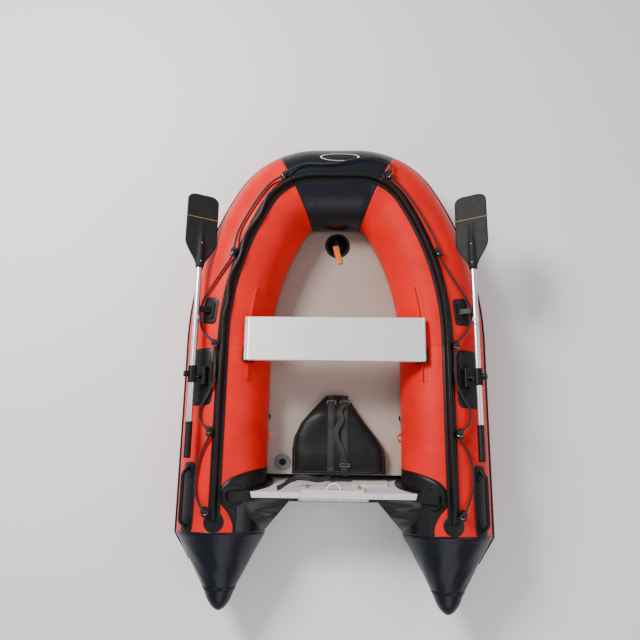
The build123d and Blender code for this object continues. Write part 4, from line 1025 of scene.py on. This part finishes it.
def off_tube(spot, height):
    """Keeps a point at least that far over the straight starboard tube."""
    axis = Vector((CENTRE_X, spot.y, TUBE_R))
    away = spot - axis
    reach = TUBE_R + height
    return axis + away * (reach / away.length) if away.length < reach else spot


class DINGHY_OT_webs(bpy.types.Operator):
    """Make the wrinkled webs between the transom and the tubes"""

    bl_idname = "dinghy.webs"
    bl_label = "Transom webs"

    def execute(self, context):
        inner = on_transom(0.192, 0.396, 0.0290)
        outer = on_transom(0.455, 0.398, 0.0290)
        for name, way in SIDES:
            rows = []
            for i in range(49):
                t = i / 48
                start = inner.lerp(skin(0.010, math.radians(-80), 0.002), t)
                top = outer.lerp(skin(0.010, math.radians(-27), 0.003), t)
                row = []
                for j in range(41):
                    u = j / 40
                    pull = math.sin(math.pi * u) ** 0.7 * math.sin(math.pi * min(t + 0.04, 1))
                    spot = start.lerp(top, u)
                    free = ease((math.hypot(spot.x - CENTRE_X, spot.z - TUBE_R) - TUBE_R) / 0.04)
                    fold = 0.0042 * math.sin(13 * t + 1.3 * u * u + way) * pull
                    fold += 0.0016 * math.sin(27 * t - 2.2 * u) * pull
                    spot += Vector((0, 0, free * fold - 0.008 * pull))
                    row.append(turn_way(off_tube(spot, 0.0042), way))
                rows.append(row)
            web = cloth(name + "_web", rows, "web")
            s = s_at(-0.6374)
            spot = skin(s, math.radians(-24), HOLDER_DISC, way)
            away = (spot - station(s, way)[0]).normalized()
            lathe(name + "_holder_rim", spot, away, HOLDER_RIM, "rubber", "hull", 64)
        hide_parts("transom_webs")
        return {"FINISHED"}


# ---- bag, straps, tab and loops ------------------------------------------
BAG_FRONT = -0.142
BAG_RUN = 0.39
BAG_LEFT = (
    (0, 0.03, 0.16, 0.36, 0.54, 0.70, 1),
    (-0.040, -0.056, -0.104, -0.172, -0.205, -0.214, -0.212),
)
BAG_RIGHT = (
    (0, 0.09, 0.32, 0.54, 0.68, 0.8, 1),
    (0.055, 0.086, 0.147, 0.216, 0.250, 0.258, 0.259),
)
BAG_STRAPS = (("left", -0.016), ("right", 0.052))
STRAP_RUN = (0.005, 0.06, 0.13, 0.22, 0.33, 0.45, 0.57, 0.7, 0.82, 0.92, 0.99)
LOOSE_STRAP = (
    (0.044, 0.14), (0.026, 0.24), (0.034, 0.34), (0.008, 0.48), (0.014, 0.60), (0.038, 0.74),
    (0.050, 0.88),
)
TRANSOM_STRAP = (
    (-0.016, -0.540, 0.1245), (-0.020, -0.548, 0.160), (-0.040, -0.560, 0.230),
    (-0.075, -0.566, 0.300), (-0.115, -0.560, 0.325), (-0.150, -0.556, 0.300),
    (-0.185, -0.560, 0.292), (-0.215, -0.578, 0.318), (-0.245, -0.600, 0.352),
    (-0.262, -0.608, 0.366),
)
STRAP_THICK = 0.0026
PIPING_RUN = (0.01, 0.12, 0.25, 0.4, 0.55, 0.68, 0.8, 0.9, 0.985)
WIRE_R = 0.0016


def bag_outline(t):
    """Middle and half width of the bag at t from its nose, 0, to its tail, 1."""
    left, right = np.interp(t, *BAG_LEFT), np.interp(t, *BAG_RIGHT)
    return (left + right) / 2, (right - left) / 2


def bag_top(t, u):
    """Height of the bag's top over the deck at t along it and u across, -1 to 1."""
    tall = bpy.context.scene.dinghy_looks.bag_height
    rise = 0.42 + 0.56 * ease(t / 0.3) - 0.12 * ease((t - 0.75) / 0.25)
    crown = (1 - abs(u) ** 5) ** 0.35
    sag = 0.0030 * math.sin(t * 9 + u * 2) + 0.0016 * math.sin(u * 8 - t * 6)
    slack = ease(t / 0.15) * (1 - ease((t - 0.9) / 0.1))
    return tall * rise * crown + sag * crown * slack - 0.004 * crown


class DINGHY_OT_bag(bpy.types.Operator):
    """Make the gear bag with its piping, straps and buckles"""

    bl_idname = "dinghy.bag"
    bl_label = "Gear bag"

    def execute(self, context):
        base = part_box("gear_bag")[0].z
        rows = []
        for i in range(65):
            t = i / 64
            y = BAG_FRONT - BAG_RUN * t
            middle, half = bag_outline(t)
            row = []
            for k in range(-28, 29):
                u = math.copysign(abs(k / 28) ** 0.75, k) if k else 0.0
                row.append(Vector((middle + half * u, y, base + max(bag_top(t, u), 0.0))))
            row += [Vector((middle + half * u, y, base)) for u in (0.98, 0.5, 0.0, -0.5, -0.98)]
            rows.append(row)
        bag = grid("gear_bag_shell", rows, "bag")
        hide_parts("gear_bag")

        def over(x, t, lift):
            middle, half = bag_outline(t)
            return (x, BAG_FRONT - BAG_RUN * t, base + bag_top(t, (x - middle) / half) + lift)

        def on_edge(t, u):
            middle, half = bag_outline(t)
            return over(middle + half * u, t, 0.0012)

        for tag, way in SIDES:
            rim = [on_edge(t, way * 0.93) for t in PIPING_RUN]
            webbing("bag_piping_" + tag, rim, 0.005, 0.004, (1, 0, 0), "strap")
        for tag, t in (("nose", 0.012), ("tail", 0.985)):
            rim = [on_edge(t, u) for u in (-0.9, -0.6, -0.3, 0.0, 0.3, 0.6, 0.9)]
            webbing("bag_piping_" + tag, rim, 0.005, 0.004, (0, 1, 0), "strap")
        tail = BAG_FRONT - BAG_RUN
        for tag, x in BAG_STRAPS:
            run = [over(x, t, 0.0028 + 0.001 * math.sin(t * 23)) for t in STRAP_RUN]
            run += [(x, tail - 0.006, base + 0.02), (x, tail - 0.014, base + 0.003)]
            webbing("bag_strap_" + tag, run, 0.034, STRAP_THICK, (1, 0, 0), "strap")
        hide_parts("bag_straps")
        run = [over(x, t, 0.0070 + 0.004 * math.sin(t * 14) ** 2) for x, t in LOOSE_STRAP]
        webbing("bag_loose_strap", run, 0.030, STRAP_THICK, (1, 0.2, 0.35), "strap")
        for tag, x, t in (("a", -0.016, 0.10), ("b", 0.052, 0.10), ("c", 0.052, 0.90)):
            rows = []
            centre = Vector(over(x, t, 0.006))
            for a in (*turns(32), 2 * math.pi):
                away = Vector((math.cos(a), math.sin(a), 0))
                square = [max(min(1.5 * part, 1), -1) for part in away]
                ring = centre + Vector((0.022 * square[0], 0.007 * square[1], 0))
                rows.append([ring + (away * math.cos(b) + Vector((0, 0, math.sin(b)))) * WIRE_R
                             for b in turns(8)])
            grid("bag_buckle_" + tag, rows, "steel", caps=False)
        webbing("transom_strap", TRANSOM_STRAP, 0.026, STRAP_THICK, (0.25, 1, 0.1), "strap")
        return {"FINISHED"}


BADGE_ANGLE = math.radians(34)
TAB_RUN = ((0.030, 0.0, 0.0022), (0.024, 0.030, 0.007), (0.016, 0.055, 0.008))
LOOP_ARCH = (
    (-0.028, 0.0012), (-0.020, 0.004), (-0.013, 0.017), (0.0, 0.024), (0.013, 0.017),
    (0.020, 0.004), (0.028, 0.0012),
)
BADGE_FACE = (
    (0.02, 0.0006), (0.5, 0.0006), (0.93, 0.0006), (0.95, 0.0009), (0.99, 0.0009), (1.0, 0.0002),
)
BADGE_RIM = ((0.90, 0.0007), (0.91, 0.0012), (0.96, 0.0012), (0.97, 0.0007))


def badge_ring(rho, lift):
    """A ring of points over the bow tube, at a share of the badge's oval outline."""
    row = []
    for a in turns(72):
        x = 0.102 * rho * math.cos(a) + 0.016
        side = 1 if x >= 0 else -1
        row.append(skin(S_END - abs(x), BADGE_ANGLE, lift, side, 0.033 * rho * math.sin(a)))
    return row


class DINGHY_OT_small(bpy.types.Operator):
    """Make the orange pull tab, the lashing loops and the plain bow badge"""

    bl_idname = "dinghy.small"
    bl_label = "Small fabric pieces"

    def execute(self, context):
        low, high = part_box("keel_pull_tab")
        tab = [(low.x + x, low.y + y, low.z + z) for x, y, z in TAB_RUN]
        tab += [(low.x + 0.010, high.y - 0.006, high.z + 0.0012),
                (low.x + 0.006, high.y + 0.012, high.z + 0.004)]
        strip = webbing("keel_tab_strip", tab, 0.030, 0.0018, (1, 0.25, 0), "orange")
        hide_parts("keel_pull_tab")
        s = s_at(-0.362)
        for name, way in SIDES:
            arch = [skin(s + run, math.radians(-80), lift, way) for run, lift in LOOP_ARCH]
            across = station(s, way)[2] + Vector((0, 0.8, 0))
            webbing(name + "_lashing_loop", arch, 0.018, 0.0030, across, "red_strap")
        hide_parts("lashing_loops")
        grid("bow_badge", [badge_ring(*ring) for ring in BADGE_FACE], "bow")
        rim = [badge_ring(*ring) for ring in BADGE_RIM]
        grid("bow_badge_rim", rim, "white", caps=False)
        return {"FINISHED"}


# ---- finishes of the frame's own nodes -----------------------------------
LOOK_NODES = {
    "inner": ("tube_baffles",),
    "hull_cloth": ("hull_bottom", "keel_tube"),
    "floor": ("air_deck",),
    "valve": ("keel_valve_cap", "deck_valve_body", "tube_valve_bodies"),
    "laminate": ("transom_board",),
    "pad": ("inner_motor_pad", "outer_motor_pad"),
    "clamp": ("clamp_plate",),
    "steel": ("transom_bolts", "d_rings"),
    "rubber": ("keel_well_ring", "transom_holders", "carry_handles"),
    "moulded": (
        "deck_valve_cap", "port_valve_cap", "starboard_valve_cap", "drain_socket", "drain_plug",
        "rowlock_bases", "port_rowlock_tee", "starboard_rowlock_tee", "port_oar_collar",
        "starboard_oar_collar", "oar_clips", "seat_shoes",
    ),
    "aluminium": ("port_oar_shaft", "starboard_oar_shaft"),
    "red": ("seat_tracks",),
}


class DINGHY_OT_finishes(bpy.types.Operator):
    """Give every CAD node that stays in view its finish"""

    bl_idname = "dinghy.finishes"
    bl_label = "Frame finishes"

    def execute(self, context):
        for look, nodes in LOOK_NODES.items():
            for node in nodes:
                for entry in FRAME["nodes"][node].material_slots:
                    entry.material = material(look)
        return {"FINISHED"}


# ---- floor, light and camera ---------------------------------------------
FLOOR_REACH = 30.0
AIM = Vector((0, 0, 0.2))
LAMPS = (
    ("key", (-2.4, 2.0, 3.6), 1.3, 260.0, (1.0, 0.97, 0.93)),
    ("fill", (3.0, -0.6, 3.4), 3.0, 40.0, (0.93, 0.96, 1.0)),
    ("back", (0.4, -3.2, 2.6), 2.4, 30.0, (1.0, 1.0, 1.0)),
)
CAMERA_PLACE = (0.0252, -0.6167, 3.4662)
CAMERA_TURNS = ((0.1215, "Z"), (0.2595, "X"), (-0.1098, "Z"))

class DINGHY_OT_stage(bpy.types.Operator):
    """Set the pale floor, the soft lights and the camera"""

    bl_idname = "dinghy.stage"
    bl_label = "Stage"

    def execute(self, context):
        scene = context.scene
        finish = Finish("studio floor", (0.92, 0.92, 0.92), 0.8, specular=0.2)
        finish.mottle(finish.noise(0.8, 2.0), (0.90, 0.90, 0.905))
        mesh = bpy.data.meshes.new("studio_floor")
        signs = ((-1, -1), (1, -1), (1, 1), (-1, 1))
        corners = [(x * FLOOR_REACH, y * FLOOR_REACH, -0.0005) for x, y in signs]
        mesh.from_pydata(corners, [], [(0, 1, 2, 3)])
        mesh.materials.append(finish.material)
        floor = bpy.data.objects.new("studio_floor", mesh)
        scene.collection.objects.link(floor)
        for name, place, size, power, colour in LAMPS:
            lamp = bpy.data.lights.new(name, "AREA")
            lamp.size = size
            lamp.energy = power
            lamp.color = colour
            holder = bpy.data.objects.new(name, lamp)
            holder.location = place
            holder.rotation_euler = (AIM - Vector(place)).to_track_quat("-Z", "Y").to_euler()
            scene.collection.objects.link(holder)
        world = bpy.data.worlds.new("studio")
        world.use_nodes = True
        sky = world.node_tree.nodes["Background"].inputs
        sky["Color"].default_value = (0.95, 0.97, 1.0, 1)
        sky["Strength"].default_value = 0.5
        scene.world = world
        lens = bpy.data.cameras.new("camera")
        lens.sensor_width = 36.0
        lens.lens = 36.5
        camera = bpy.data.objects.new("camera", lens)
        pose = Matrix.Translation(CAMERA_PLACE)
        for angle, axis in CAMERA_TURNS:
            pose = pose @ Matrix.Rotation(angle, 4, axis)
        camera.matrix_world = pose
        scene.collection.objects.link(camera)
        scene.camera = camera
        return {"FINISHED"}


STEPS = (
    DINGHY_OT_stage, DINGHY_OT_lines, DINGHY_OT_tubes, DINGHY_OT_cones, DINGHY_OT_trim,
    DINGHY_OT_patches, DINGHY_OT_bench, DINGHY_OT_oars, DINGHY_OT_webs, DINGHY_OT_bag,
    DINGHY_OT_small, DINGHY_OT_finishes,
)


class DINGHY_PT_panel(bpy.types.Panel):
    """Lists the dinghy's settings and its pieces"""

    bl_idname = "DINGHY_PT_panel"
    bl_label = "Dinghy"
    bl_space_type = "VIEW_3D"
    bl_region_type = "UI"
    bl_category = "Dinghy"

    def draw(self, context):
        looks = context.scene.dinghy_looks
        for key in looks.__annotations__:
            self.layout.prop(looks, key)
        for step in STEPS:
            self.layout.operator(step.bl_idname)


CLASSES = (DinghyLooks, *STEPS, DINGHY_PT_panel)


def register():
    for cls in CLASSES:
        bpy.utils.register_class(cls)
    bpy.types.Scene.dinghy_looks = bpy.props.PointerProperty(type=DinghyLooks)


def unregister():
    del bpy.types.Scene.dinghy_looks
    for cls in reversed(CLASSES):
        bpy.utils.unregister_class(cls)


def main():
    register()
    for step in STEPS:
        family, name = step.bl_idname.split(".")
        getattr(getattr(bpy.ops, family), name)()
    bpy.context.view_layer.update()


if __name__ == "__main__":
    main()
